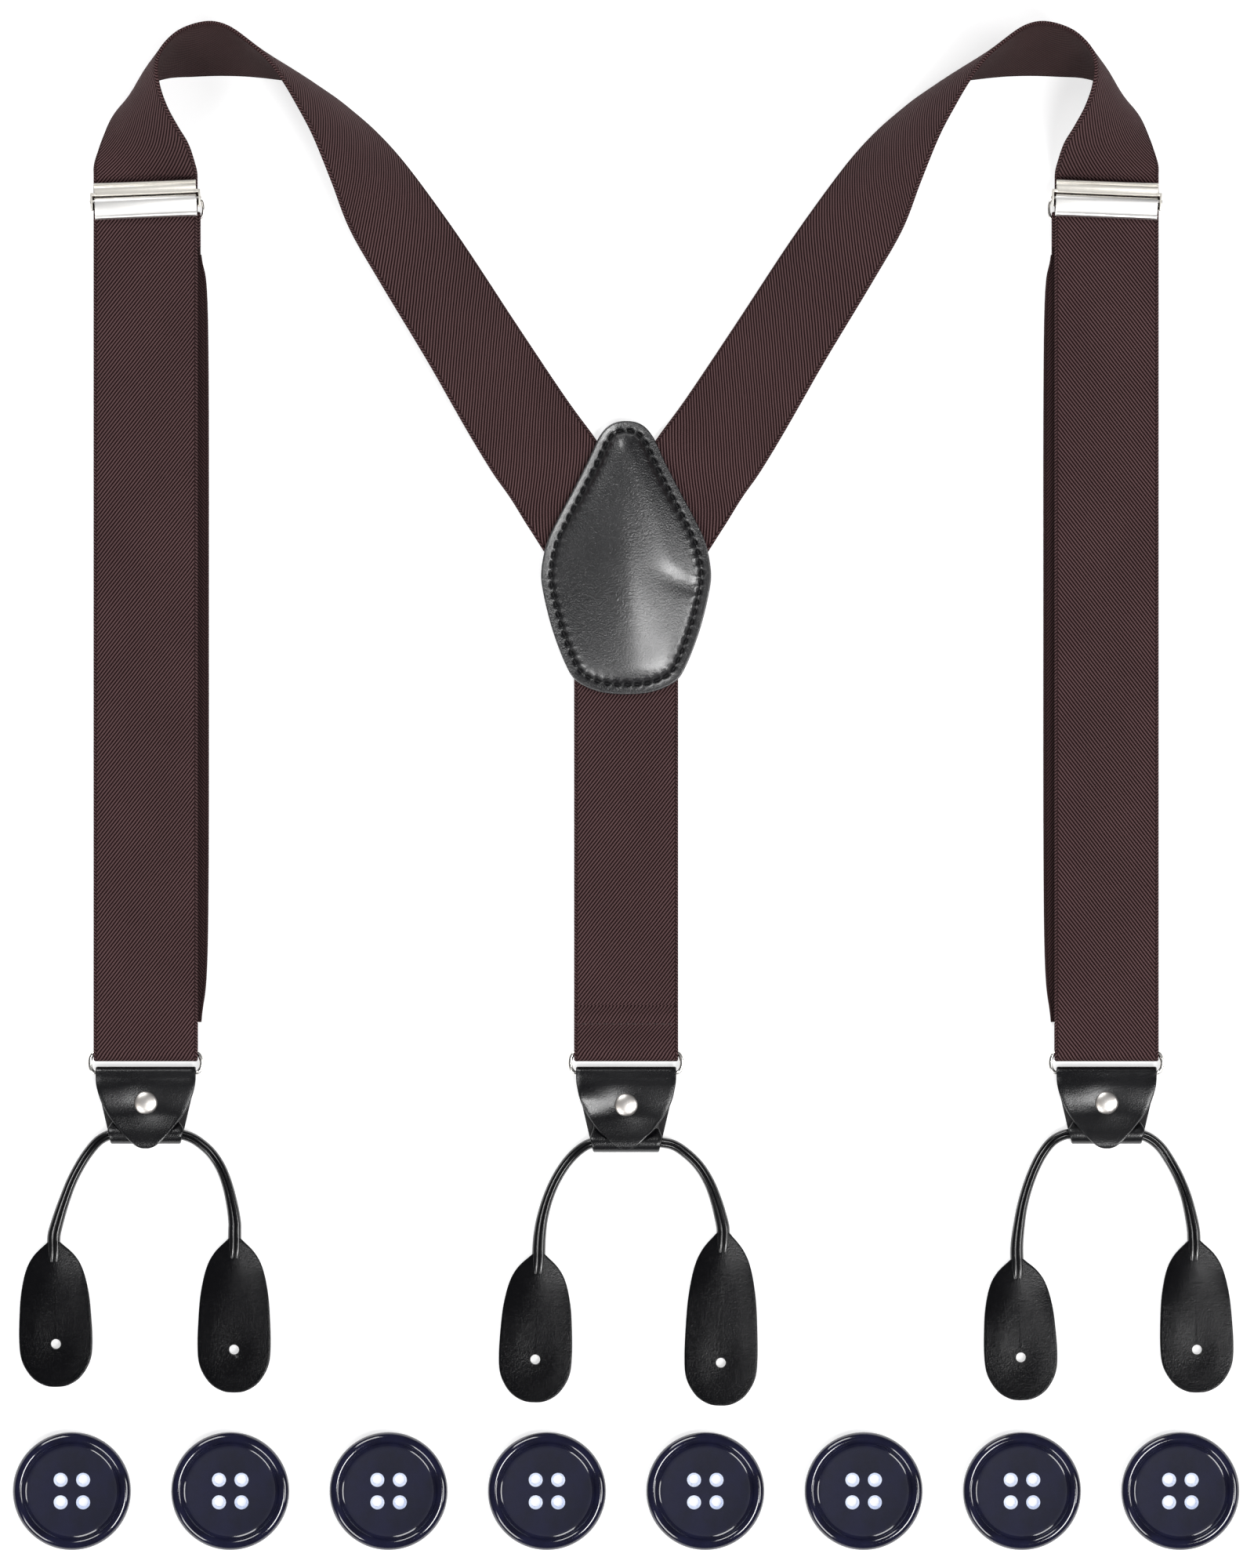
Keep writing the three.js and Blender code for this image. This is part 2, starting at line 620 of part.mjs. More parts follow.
// Each loop's rolled leather, as a route of x, y and z from the neck of its left tab, up through the
// carrier's lower fold and down to the neck of its right tab.
const LOOPS = {
  left: {
    x: -SIDE_X,
    foldY: -116.5,
    rivetY: -105.9,
    tipY: -120.9,
    tabs: [
      [-191.4, -186.9, 1.2, 34.4],
      [-131.6, -188.8, -0.3, 37.5],
    ],
    route: [
      [-192.13, -152.2, CORD_REST_Z],
      [-191.95, -150, CORD_REST_Z],
      [-191.3, -147.4, CORD_REST_Z],
      [-190, -143, CORD_REST_Z],
      [-188.3, -138, CORD_REST_Z],
      [-186.3, -132.8, CORD_REST_Z],
      [-183.8, -127.8, CORD_REST_Z],
      [-180.7, -122.9, 2.1],
      [-176.9, -118.6, 2.6],
      [-172.6, -116.5, CHANNEL_Z],
      [-168.2, -116.5, CHANNEL_Z],
      [-161.2, -116.5, CHANNEL_Z],
      [-154.2, -116.5, CHANNEL_Z],
      [-149.8, -116.5, CHANNEL_Z],
      [-145.6, -117.8, 2.8],
      [-141.9, -120.3, 2.3],
      [-138.8, -123.4, CORD_REST_Z],
      [-135.9, -128, CORD_REST_Z],
      [-133.7, -134, CORD_REST_Z],
      [-132.1, -141, CORD_REST_Z],
      [-131.4, -146, CORD_REST_Z],
      [-131.38, -148.5, CORD_REST_Z],
      [-131.4, -151, CORD_REST_Z],
    ],
  },
  centre: {
    x: 0,
    foldY: -119.3,
    rivetY: -106.6,
    tipY: -121.1,
    tabs: [
      [-30.5, -192.1, -1.9, 35.6],
      [31.8, -193.2, -1, 43.9],
    ],
    route: [
      [-29.33, -156.2, CORD_REST_Z],
      [-29.22, -153.4, CORD_REST_Z],
      [-28.95, -150, CORD_REST_Z],
      [-28.2, -145, CORD_REST_Z],
      [-26.6, -139, CORD_REST_Z],
      [-24.2, -133, CORD_REST_Z],
      [-21, -127.5, CORD_REST_Z],
      [-17.4, -123.2, 2.2],
      [-13.6, -120.3, 2.8],
      [-10.8, -119.4, CHANNEL_Z],
      [-7, -119.3, CHANNEL_Z],
      [0, -119.3, CHANNEL_Z],
      [7, -119.3, CHANNEL_Z],
      [10.9, -119.2, CHANNEL_Z],
      [15.8, -120.1, 2.6],
      [20.3, -123, 2.1],
      [24.6, -127.3, CORD_REST_Z],
      [28, -132.9, CORD_REST_Z],
      [30.3, -139, CORD_REST_Z],
      [31.8, -144.5, CORD_REST_Z],
      [32.4, -147.2, CORD_REST_Z],
      [32.57, -149, CORD_REST_Z],
    ],
  },
  right: {
    x: SIDE_X,
    foldY: -116.5,
    rivetY: -105.9,
    tipY: -120.9,
    tabs: [
      [132.5, -191.4, 2.3, 33.2],
      [191.6, -188.8, 1.6, 36.8],
    ],
    route: [
      [131.16, -157.9, CORD_REST_Z],
      [131.12, -155.4, CORD_REST_Z],
      [131.3, -152, CORD_REST_Z],
      [131.9, -147, CORD_REST_Z],
      [132.9, -141, CORD_REST_Z],
      [134.6, -134.6, CORD_REST_Z],
      [137, -128.2, CORD_REST_Z],
      [139.7, -123, 2.1],
      [143.1, -118.8, 2.6],
      [147.3, -116.6, 3.1],
      [151, -116.5, CHANNEL_Z],
      [154.2, -116.5, CHANNEL_Z],
      [161.2, -116.5, CHANNEL_Z],
      [168.2, -116.5, CHANNEL_Z],
      [171.8, -116.5, CHANNEL_Z],
      [175.6, -117.8, 2.8],
      [179.2, -120.7, 2.3],
      [182.3, -125.1, CORD_REST_Z],
      [185.4, -130.8, CORD_REST_Z],
      [187.9, -137.2, CORD_REST_Z],
      [189.5, -143.6, CORD_REST_Z],
      [190.4, -148.6, CORD_REST_Z],
      [190.58, -151.7, CORD_REST_Z],
    ],
  },
};

function rolledLeather(route) {
  const path = new THREE.CatmullRomCurve3(
    route.map((p) => new THREE.Vector3(...p)),
    false,
    "catmullrom",
    0.5,
  );
  const section = new THREE.Shape();
  section.absarc(0, 0, CORD_R, 0, 2 * Math.PI, false);
  const settings = { steps: 36, curveSegments: 4, bevelEnabled: false, extrudePath: path };
  return new THREE.ExtrudeGeometry(section, settings);
}

// ---- Buttons ----

function button() {
  const profile = [
    [0, 0],
    [15, 0],
    [19, 1.6],
    [BUTTON_R, 3.6],
    [19.2, 5.5],
    [17.6, 6.5],
    [16.1, 6.1],
    [15.1, 5],
    [13.5, 4.5],
    [0, 4.5],
  ].map(([r, z]) => new THREE.Vector2(r, z));
  const blank = new THREE.LatheGeometry(profile, 24).rotateX(Math.PI / 2);
  const holes = [];
  for (const sx of [-1, 1]) {
    for (const sy of [-1, 1]) {
      holes.push(rodAlongZ(BUTTON_HOLE_R, -1, 9, sx * BUTTON_HOLE_OUT, sy * BUTTON_HOLE_OUT, 10));
    }
  }
  return cut(blank, ...holes);
}

// ---- The whole ----

for (const [name, side] of [
  ["left", -1],
  ["right", 1],
]) {
  addPiece(`shoulder_strap_${name}`, shoulderStrap(side), WEBBING);
  addPiece(`return_strap_${name}`, returnStrap(side), WEBBING);
  addPiece(`return_hem_${name}`, returnHem(side), WEBBING);
  addAdjuster(name, side);
}
addPiece("back_strap", backStrap(), WEBBING);
addPatch();
for (const [name, loop] of Object.entries(LOOPS)) {
  addRing(name, loop.x);
  addCarrier(name, loop.x, loop.foldY, loop.rivetY, loop.tipY);
  addPiece(`rolled_loop_${name}`, rolledLeather(loop.route), BLACK_LEATHER);
  addTab(`tab_${name}_1`, ...loop.tabs[0]);
  addTab(`tab_${name}_2`, ...loop.tabs[1]);
}
for (let i = 0; i < BUTTON_COUNT; i++) {
  const x = (i - (BUTTON_COUNT - 1) / 2) * BUTTON_PITCH;
  addPiece(`button_${i + 1}`, button(), NAVY).position.set(x, BUTTON_Y, 0);
}

export default suspenders;
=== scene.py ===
"""Y-back suspenders laid flat above a row of trouser buttons: the looks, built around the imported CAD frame.

Shapes are worked out in millimetres in the row frame and turned into metres when a mesh is made.
"""

import math

import bmesh
import bpy
import numpy as np
from mathutils import Matrix


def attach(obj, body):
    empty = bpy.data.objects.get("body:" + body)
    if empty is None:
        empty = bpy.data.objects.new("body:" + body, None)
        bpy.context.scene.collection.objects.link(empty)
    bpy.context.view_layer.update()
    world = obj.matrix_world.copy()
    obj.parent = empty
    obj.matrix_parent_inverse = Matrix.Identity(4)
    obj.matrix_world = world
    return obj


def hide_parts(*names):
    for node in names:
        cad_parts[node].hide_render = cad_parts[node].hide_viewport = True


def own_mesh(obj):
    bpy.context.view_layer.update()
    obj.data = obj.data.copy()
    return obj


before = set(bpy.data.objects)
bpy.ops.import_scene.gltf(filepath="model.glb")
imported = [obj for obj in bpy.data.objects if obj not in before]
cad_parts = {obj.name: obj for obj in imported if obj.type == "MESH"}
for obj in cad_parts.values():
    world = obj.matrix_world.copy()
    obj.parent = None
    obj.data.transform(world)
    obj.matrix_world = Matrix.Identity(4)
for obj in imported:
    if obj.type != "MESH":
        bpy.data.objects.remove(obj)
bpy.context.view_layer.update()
MM = 0.001
UV_PER_MM = 0.01  # a webbing's UV map holds millimetres times this

# ---- Sizes shared with the CAD model, in millimetres ----

WEB_WIDTH = 35.0
WEB_THICK = 1.4
WEB_HALF = WEB_WIDTH / 2
SIDE_X = 161.2
UNDER_Z = WEB_THICK / 2
FOLD_R = 2.15
AXIS_Z = UNDER_Z + FOLD_R
FRONT_Z = AXIS_Z + FOLD_R
LOOP_START_Y = 204.7
RETURN_SHIFT = 3.4
RETURN_END_SHIFT = 1.2
FOLD_TAIL = 10.0
GAP = 0.3
RING_TOP_Y = -89.2
RING_PITCH = 6.66
RING_STRAIGHT = 17
RING_END = 1.75
RING_WIRE_R = 0.75
RING_LOW_Y = RING_TOP_Y - RING_PITCH
LEATHER = 1.1
CARRIER_HALF = 16.3
CARRIER_FOLD_HALF = 10.5
CARRIER_RING_R = 1.55
CHANNEL_R = 2.15
CHANNEL_MID_R = CHANNEL_R + LEATHER / 2
CHANNEL_Z = CHANNEL_R + LEATHER
TAIL_Z = 2.85
CORD_R = 1.75
CORD_Z = 1.85
CORD_LOWEST_Z = 0.35  # the sunk ends are flattened here, to stay off the table
TAB_LENGTH = 50.0
TAB_REACH = 35.6
ADJUSTER_Y = 196.9
ADJUSTER_TILT = math.radians(2.3)
ADJUSTER_HALF = 17.1
EAR_INNER = 17.75
EAR_OUTER = 18.4
EAR_HALF = 2.9
BACK_PLATE_Z = 3.15
PIN_Z = 7.4
LINK_Z = 2.1
LINK_PITCH = 6.0
LINK_STRAIGHT = 17.2
LINK_END = 0.9
LINK_WIRE_R = 0.5
HEM_LENGTH = 12.0
HEM_HALF = 17.0
HEM_LAP = 0.55  # the hem ends this far on, over the end of the return strap
HEM_WIDER = 0.2
PATCH_WEB_Z = 2.2
FRONT_LEATHER_Z = 3.2
BUTTON_PITCH = 53.13
BUTTON_Y = -236.17

# ---- Camera ----

CAMERA_HEIGHT = 6.0
FRAME_LONG_SIDE = 0.5263  # metres of table along the picture's long side
camera = bpy.data.objects.new("camera", bpy.data.cameras.new("camera"))
bpy.context.scene.collection.objects.link(camera)
camera.location = (0.0003, 0.001, CAMERA_HEIGHT)
camera.data.sensor_width = 36
camera.data.lens = 36 * CAMERA_HEIGHT / FRAME_LONG_SIDE
camera.data.clip_end = 100
bpy.context.scene.camera = camera


# ---- Mesh helpers ----


def build(name, points, faces, materials, uvs=None, slots=None, sharp=38):
    """A mesh from points in millimetres. uvs holds a pair per face corner, slots a material per face."""
    mesh = bpy.data.meshes.new(name)
    mesh.from_pydata((np.asarray(points) * MM).tolist(), [], faces)
    for material in materials:
        mesh.materials.append(material)
    if slots is not None:
        mesh.polygons.foreach_set("material_index", slots)
    if uvs is not None:
        layer = mesh.uv_layers.new(name="weave")
        layer.data.foreach_set("uv", np.asarray(uvs, float).ravel())
    made = bmesh.new()
    made.from_mesh(mesh)
    bmesh.ops.recalc_face_normals(made, faces=made.faces)
    made.to_mesh(mesh)
    made.free()
    smooth(mesh, sharp)
    piece = bpy.data.objects.new(name, mesh)
    bpy.context.scene.collection.objects.link(piece)
    return piece


def smooth(mesh, degrees):
    mesh.polygons.foreach_set("use_smooth", [True] * len(mesh.polygons))
    mesh.set_sharp_from_angle(angle=math.radians(degrees))


def settle(piece, body, slot, *nodes):
    """Ties a finished piece to its CAD body and hides the CAD nodes it stands for. The slot argument is not
    used.
    """
    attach(piece, body)
    if nodes:
        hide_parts(*nodes)
    return piece


def spline(rows, per_span):
    """Points of a smooth curve through rows of numbers, per_span of them from each row to the next."""
    rows = np.asarray(rows, float)
    ends = np.vstack([2 * rows[0] - rows[1], rows, 2 * rows[-1] - rows[-2]])
    made = []
    for i in range(len(rows) - 1):
        a, b, c, d = ends[i : i + 4]
        for t in np.arange(per_span) / per_span:
            made.append(
                b + 0.5 * t * (c - a + t * (2 * a - 5 * b + 4 * c - d + t * (3 * (b - c) + d - a)))
            )
    return np.array(made + [rows[-1]])


def arc(y, z, radius, start, end, steps):
    """Rows of y and z round an arc, in degrees from +Y towards +Z."""
    angles = np.radians(np.linspace(start, end, steps + 1))
    return [(y + radius * math.cos(a), z + radius * math.sin(a)) for a in angles]


def spaced(rows, step):
    """The same line of rows with more rows put in, so that none are further apart than step."""
    made = [rows[0]]
    for a, b in zip(rows, rows[1:]):
        parts = max(1, math.ceil(np.linalg.norm(np.subtract(b, a)) / step))
        made += [np.add(a, np.subtract(b, a) * k / parts) for k in range(1, parts + 1)]
    return np.array(made, float)


def unit(v):
    return v / np.maximum(np.linalg.norm(v, axis=-1, keepdims=True), 1e-9)


def distance_along(line):
    return np.concatenate([[0], np.cumsum(np.linalg.norm(np.diff(line, axis=0), axis=1))])


def strip(name, grid, thick, across, facing, materials):
    """A closed strip of cloth or leather with rounded edges, from its middle surface.

    across is each column's distance in millimetres. The first material is on the side that the normal times
    facing points to, the second on the other side.
    """
    rows, columns = grid.shape[:2]
    side = unit(np.gradient(grid, axis=1))
    normal = unit(np.cross(side, np.gradient(grid, axis=0))) * facing
    half = thick / 2
    rings, u = [], []
    for j in range(columns):
        rings.append(grid[:, j] + normal[:, j] * half)
        u.append(across[j])
    for angle in np.radians([60, 20, -20, -60]):
        turned = side[:, -1] * half * math.cos(angle) + normal[:, -1] * half * math.sin(angle)
        rings.append(grid[:, -1] + turned)
        u.append(across[-1] + half * math.cos(angle))
    for j in reversed(range(columns)):
        rings.append(grid[:, j] - normal[:, j] * half)
        u.append(across[j])
    for angle in np.radians([-60, -20, 20, 60]):
        turned = normal[:, 0] * half * math.sin(angle) - side[:, 0] * half * math.cos(angle)
        rings.append(grid[:, 0] + turned)
        u.append(across[0] - half * math.cos(angle))
    around = len(rings)
    points = np.stack(rings, axis=1).reshape(-1, 3)
    v = distance_along(grid[:, columns // 2])
    faces, uvs, slots = [], [], []
    under = range(columns + 2, 2 * columns + 5)
    for i in range(rows - 1):
        for j in range(around):
            k = (j + 1) % around
            faces.append((i * around + j, i * around + k, (i + 1) * around + k, (i + 1) * around + j))
            uvs += [(u[j], v[i]), (u[k], v[i]), (u[k], v[i + 1]), (u[j], v[i + 1])]
            slots.append(1 if j in under and len(materials) > 1 else 0)
    for i in (0, rows - 1):
        faces.append(tuple(i * around + j for j in range(around)))
        uvs += [(u[j], v[i]) for j in range(around)]
        slots.append(0)
    return build(name, points, faces, materials, np.array(uvs) * UV_PER_MM, slots)


def tube(name, rings, materials, closed=False, sharp=50):
    """A tube from rings of points. closed joins its last ring to its first."""
    count, around = rings.shape[:2]
    faces = []
    for i in range(count if closed else count - 1):
        n = (i + 1) % count
        for j in range(around):
            k = (j + 1) % around
            faces.append((i * around + j, i * around + k, n * around + k, n * around + j))
    if not closed:
        faces += [tuple(range(around)), tuple((count - 1) * around + j for j in range(around))]
    return build(name, rings.reshape(-1, 3), faces, materials, sharp=sharp)


def turned(name, profile, sides, materials, bands=(), sharp=30):
    """A turned piece about Z, from rows of radius and z that start and end on the axis.

    bands holds the first profile row of each further material.
    """
    profile = np.asarray(profile, float)
    points, faces, slots = [[0, 0, profile[0][1]]], [], []
    middle = profile[1:-1]
    for r, z in middle:
        for j in range(sides):
            a = 2 * math.pi * j / sides
            points.append([r * math.cos(a), r * math.sin(a), z])
    points.append([0, 0, profile[-1][1]])
    last = len(points) - 1
    for j in range(sides):
        k = (j + 1) % sides
        faces.append((0, 1 + k, 1 + j))
        slots.append(0)
        for i in range(len(middle) - 1):
            a, b = 1 + i * sides, 1 + (i + 1) * sides
            faces.append((a + j, a + k, b + k, b + j))
            slots.append(sum(i + 1 >= start for start in bands))
        a = 1 + (len(middle) - 1) * sides
        faces.append((last, a + j, a + k))
        slots.append(len(bands))
    return build(name, points, faces, materials, slots=slots, sharp=sharp)


def nearest_depth(points, outline):
    """How far each point is from the outline's nearest point."""
    away = np.linalg.norm(points[:, None, :2] - outline[None, :, :2], axis=2)
    return away.min(axis=1)


def padded_shell(name, outline, middle, insets, shares, top, bottom, materials):
    """A flat or domed piece with a shaped outline.

    Its rings step in from the outline by insets, then by shares of the way to the line that middle gives.
    top and bottom give heights from a ring's points and its depth.
    """
    outline = np.asarray(outline, float)
    tangent = unit(np.roll(outline, -1, axis=0) - np.roll(outline, 1, axis=0))
    inward = np.stack([-tangent[:, 1], tangent[:, 0]], axis=1)
    flat = [outline + inward * d for d in insets]
    core = middle(outline)
    flat += [flat[len(insets) - 1] * (1 - s) + core * s for s in shares]
    depths = [np.full(len(outline), d) for d in insets]
    depths += [nearest_depth(ring, outline) for ring in flat[len(insets) :]]
    upper = [np.column_stack([p, top(p, d)]) for p, d in zip(flat, depths)]
    lower = [np.column_stack([p, bottom(p, d)]) for p, d in zip(flat, depths)]
    rings = lower[::-1] + upper
    around = len(outline)
    points = np.concatenate(rings)
    faces = [tuple(range(around))]
    for i in range(len(rings) - 1):
        for j in range(around):
            k = (j + 1) % around
            faces.append((i * around + j, i * around + k, (i + 1) * around + k, (i + 1) * around + j))
    faces.append(tuple((len(rings) - 1) * around + j for j in range(around)))
    return build(name, points, faces, materials)


def carve(piece, *tools):
    """Cuts the tools out of the piece and removes them."""
    for tool in tools:
        cutter = piece.modifiers.new("cut", "BOOLEAN")
        cutter.operation = "DIFFERENCE"
        cutter.solver = "EXACT"
        cutter.object = tool
    bpy.context.view_layer.update()
    result = piece.evaluated_get(bpy.context.evaluated_depsgraph_get())
    mesh = bpy.data.meshes.new_from_object(result)
    piece.modifiers.clear()
    piece.data = mesh
    for tool in tools:
        bpy.data.objects.remove(tool)
    smooth(mesh, 38)
    return piece


def joined(name, pieces, sharp=38):
    """One object from several."""
    made = bmesh.new()
    for piece in pieces:
        piece.data.transform(piece.matrix_world)
        made.from_mesh(piece.data)
    mesh = bpy.data.meshes.new(name)
    for material in pieces[0].data.materials:
        mesh.materials.append(material)
    made.to_mesh(mesh)
    made.free()
    smooth(mesh, sharp)
    for piece in pieces:
        bpy.data.objects.remove(piece)
    whole = bpy.data.objects.new(name, mesh)
    bpy.context.scene.collection.objects.link(whole)
    return whole


def plate(x0, x1, y0, y1, z0, z1, bevel, material):
    """A flat metal plate with rounded edges."""
    made = bmesh.new()
    bmesh.ops.create_cube(made, size=1)
    for v in made.verts:
        v.co.x = (x0 + x1) / 2 + v.co.x * (x1 - x0)
        v.co.y = (y0 + y1) / 2 + v.co.y * (y1 - y0)
        v.co.z = (z0 + z1) / 2 + v.co.z * (z1 - z0)
    bmesh.ops.bevel(made, geom=made.edges[:], offset=bevel, segments=3, profile=0.5, affect="EDGES")
    bmesh.ops.scale(made, vec=(MM, MM, MM), verts=made.verts)
    mesh = bpy.data.meshes.new("plate")
    mesh.materials.append(material)
    made.to_mesh(mesh)
    made.free()
    piece = bpy.data.objects.new("plate", mesh)
    bpy.context.scene.collection.objects.link(piece)
    return piece


# ---- Materials ----


class Shader:
    """A material's node tree. Each call adds a node and returns its output."""

    def __init__(self, name, **plain):
        self.material = bpy.data.materials.new(name)
        self.material.use_nodes = True
        self.tree = self.material.node_tree
        self.surface = self.tree.nodes["Principled BSDF"]
        for socket, value in plain.items():
            self.surface.inputs[socket.replace("_", " ")].default_value = value

    def node(self, kind, inputs, output=0, **settings):
        made = self.tree.nodes.new("ShaderNode" + kind)
        for key, value in settings.items():
            setattr(made, key, value)
        for key, value in inputs.items():
            self.feed(made.inputs[key], value)
        return made.outputs[output]

    def feed(self, socket, value):
        if isinstance(value, bpy.types.NodeSocket):
            self.tree.links.new(value, socket)
        else:
            socket.default_value = value

    def drive(self, socket, value):
        self.feed(self.surface.inputs[socket], value)

    def math(self, operation, a, b=0.0, c=0.0):
        return self.node("Math", {0: a, 1: b, 2: c}, operation=operation)

    def fit(self, value, low, high, to_low=0.0, to_high=1.0, kind="SMOOTHSTEP"):
        inputs = {0: value, 1: low, 2: high, 3: to_low, 4: to_high}
        return self.node("MapRange", inputs, interpolation_type=kind)

    def mix(self, share, a, b):
        """Mixes two colours. A row of three numbers is read by tone."""
        a, b = (tone(*c) if isinstance(c, tuple) and len(c) == 3 else c for c in (a, b))
        return self.node("Mix", {0: share, 6: a, 7: b}, output=2, data_type="RGBA")

    def blend(self, share, a, b):
        return self.node("Mix", {0: share, 2: a, 3: b}, data_type="FLOAT")

    def place(self, kind="Object"):
        return self.node("TexCoord", {}, output=kind)

    def noise(self, where, scale, detail=3.0, roughness=0.55):
        return self.node(
            "TexNoise", {"Vector": where, "Scale": scale, "Detail": detail, "Roughness": roughness}
        )

    def cells(self, where, scale, feature="F1"):
        return self.node("TexVoronoi", {"Vector": where, "Scale": scale}, feature=feature)

    def bump(self, height, distance, strength=1.0):
        inputs = {"Height": height, "Distance": distance, "Strength": strength}
        self.drive("Normal", self.node("Bump", inputs))


def tone(red, green, blue):
    """A colour from 0 to 255 sRGB, as Blender's linear numbers."""
    made = []
    for c in (red, green, blue):
        s = c / 255
        made.append(s / 12.92 if s <= 0.04045 else ((s + 0.055) / 1.055) ** 2.4)
    return (*made, 1.0)


RIB_ANGLE = math.radians(52)
RIB_SPACING = 0.95
YARN_SPACING = 0.72
SELVAGE = 0.95


def webbing_material(name, dark, light, slant, spacing):
    """Twill-woven elastic: slanting ribs of short stitches, and a narrow edge that slants the other way. The
    colour darkens down into the ribs' grooves and into the groove by the edge: painted shade.
    """
    s = Shader(name, Roughness=0.82, Sheen_Weight=0.05, Sheen_Roughness=0.45, Specular_IOR_Level=0.15)
    s.surface.inputs["Sheen Tint"].default_value = tone(190, 150, 150)
    where = s.node("UVMap", {}, uv_map="weave")
    split = s.tree.nodes.new("ShaderNodeSeparateXYZ")
    s.feed(split.inputs[0], where)
    u = s.math("DIVIDE", split.outputs[0], UV_PER_MM)
    v = s.math("DIVIDE", split.outputs[1], UV_PER_MM)
    wander = s.math("SUBTRACT", s.noise(where, 9.0, 2.0), 0.5)
    wander = s.math("MULTIPLY", wander, 0.35)
    off_centre = s.math("ABSOLUTE", s.math("SUBTRACT", u, WEB_HALF))
    selvage = s.fit(off_centre, WEB_HALF - SELVAGE - 0.15, WEB_HALF - SELVAGE + 0.05)
    sine, cosine = math.sin(RIB_ANGLE) / spacing, math.cos(RIB_ANGLE) / spacing
    rise = s.math("MULTIPLY", v, slant * cosine)
    body = s.math("SUBTRACT", s.math("MULTIPLY", u, sine), rise)
    edge = s.math("ADD", s.math("MULTIPLY", u, sine), s.math("MULTIPLY", rise, 1.5))
    phase = s.math("ADD", s.blend(selvage, body, edge), wander)
    turn = s.math("MULTIPLY", phase, 2 * math.pi)
    wave = s.math("MULTIPLY_ADD", s.math("SINE", turn), 0.5, 0.5)
    rib = s.fit(wave, 0.12, 0.78)
    along = s.math("MULTIPLY", u, math.cos(RIB_ANGLE) / YARN_SPACING)
    along = s.math("ADD", along, s.math("MULTIPLY", v, slant * math.sin(RIB_ANGLE) / YARN_SPACING))
    stagger = s.math("MULTIPLY", s.math("FLOOR", s.math("ADD", phase, 0.25)), 0.41)
    stitch = s.math("SINE", s.math("MULTIPLY", s.math("ADD", along, stagger), 2 * math.pi))
    stitch = s.math("MULTIPLY_ADD", stitch, 0.09, 0.91)
    height = s.math("MULTIPLY", rib, stitch)
    # The groove by the edge also darkens the colour there: painted shade.
    groove = s.math("SUBTRACT", off_centre, WEB_HALF - SELVAGE)
    groove = s.math("MULTIPLY", groove, 5.5)
    groove = s.math("EXPONENT", s.math("MULTIPLY", s.math("MULTIPLY", groove, groove), -1.0))
    height = s.math("MULTIPLY", height, s.math("MULTIPLY_ADD", groove, -0.7, 1.0))
    fuzz = s.noise(where, 420.0, 4.0, 0.7)
    # Painted shade: the colour runs from dark down in the grooves to light on the ribs' tops.
    shade = s.math("MULTIPLY", height, s.fit(fuzz, 0.25, 0.75, 0.8, 1.12, "LINEAR"))
    colour = s.mix(shade, dark, light)
    cloud = s.fit(s.noise(where, 3.0, 3.0), 0.3, 0.7)
    colour = s.node("HueSaturation", {"Value": s.blend(cloud, 0.93, 1.06), "Color": colour})
    s.drive("Base Color", colour)
    s.drive("Roughness", s.blend(height, 0.92, 0.74))
    s.bump(s.math("MULTIPLY_ADD", fuzz, 0.12, height), 0.00028, 0.8)
    return s.material


def leather_material(name, grain, relief, base, worn, rough_low, rough_high, coat=0.0, gloss=0.5):
    """Black corrected leather: fine pebbles over soft unevenness. grain and relief are in millimetres."""
    s = Shader(name, Specular_IOR_Level=gloss, Coat_Weight=coat, Coat_Roughness=0.22)
    where = s.place()
    pebble = s.cells(where, 1000 / grain, "SMOOTH_F1")
    pores = s.noise(where, 1250 / grain, 2.0, 0.7)
    soft = s.noise(where, 90.0, 3.0)
    height = s.math("MULTIPLY_ADD", pores, 1.5, s.math("SUBTRACT", 1.0, pebble))
    height = s.math("MULTIPLY_ADD", soft, 1.3, height)
    broad = s.noise(where, 34.0, 4.0)
    colour = s.mix(s.fit(broad, 0.35, 0.7), base, worn)
    s.drive("Base Color", s.mix(s.fit(pebble, 0.2, 0.75), colour, base))
    s.drive("Roughness", s.fit(s.math("MULTIPLY_ADD", pores, 0.5, broad), 0.45, 1.0, rough_low, rough_high))
    s.bump(height, relief * MM, 0.7)
    return s.material


def metal_material(name, colour, dull, rough_low, rough_high, brushed):
    """Nickel plate: faint drawn lines along X, with a mottled polish."""
    s = Shader(name, Metallic=1.0)
    where = s.place()
    lines = s.node("Mapping", {"Vector": where, "Scale": (60.0, 9000.0, 9000.0)})
    drawn = s.noise(lines, 1.0, 3.0)
    mottle = s.noise(where, 260.0, 3.0)
    s.drive("Base Color", s.mix(s.fit(mottle, 0.35, 0.75), colour, dull))
    polish = s.math("MULTIPLY_ADD", drawn, brushed, mottle)
    s.drive("Roughness", s.fit(polish, 0.3, 1.1, rough_low, rough_high))
    s.bump(s.math("MULTIPLY", drawn, brushed), 0.00003, 0.6)
    return s.material


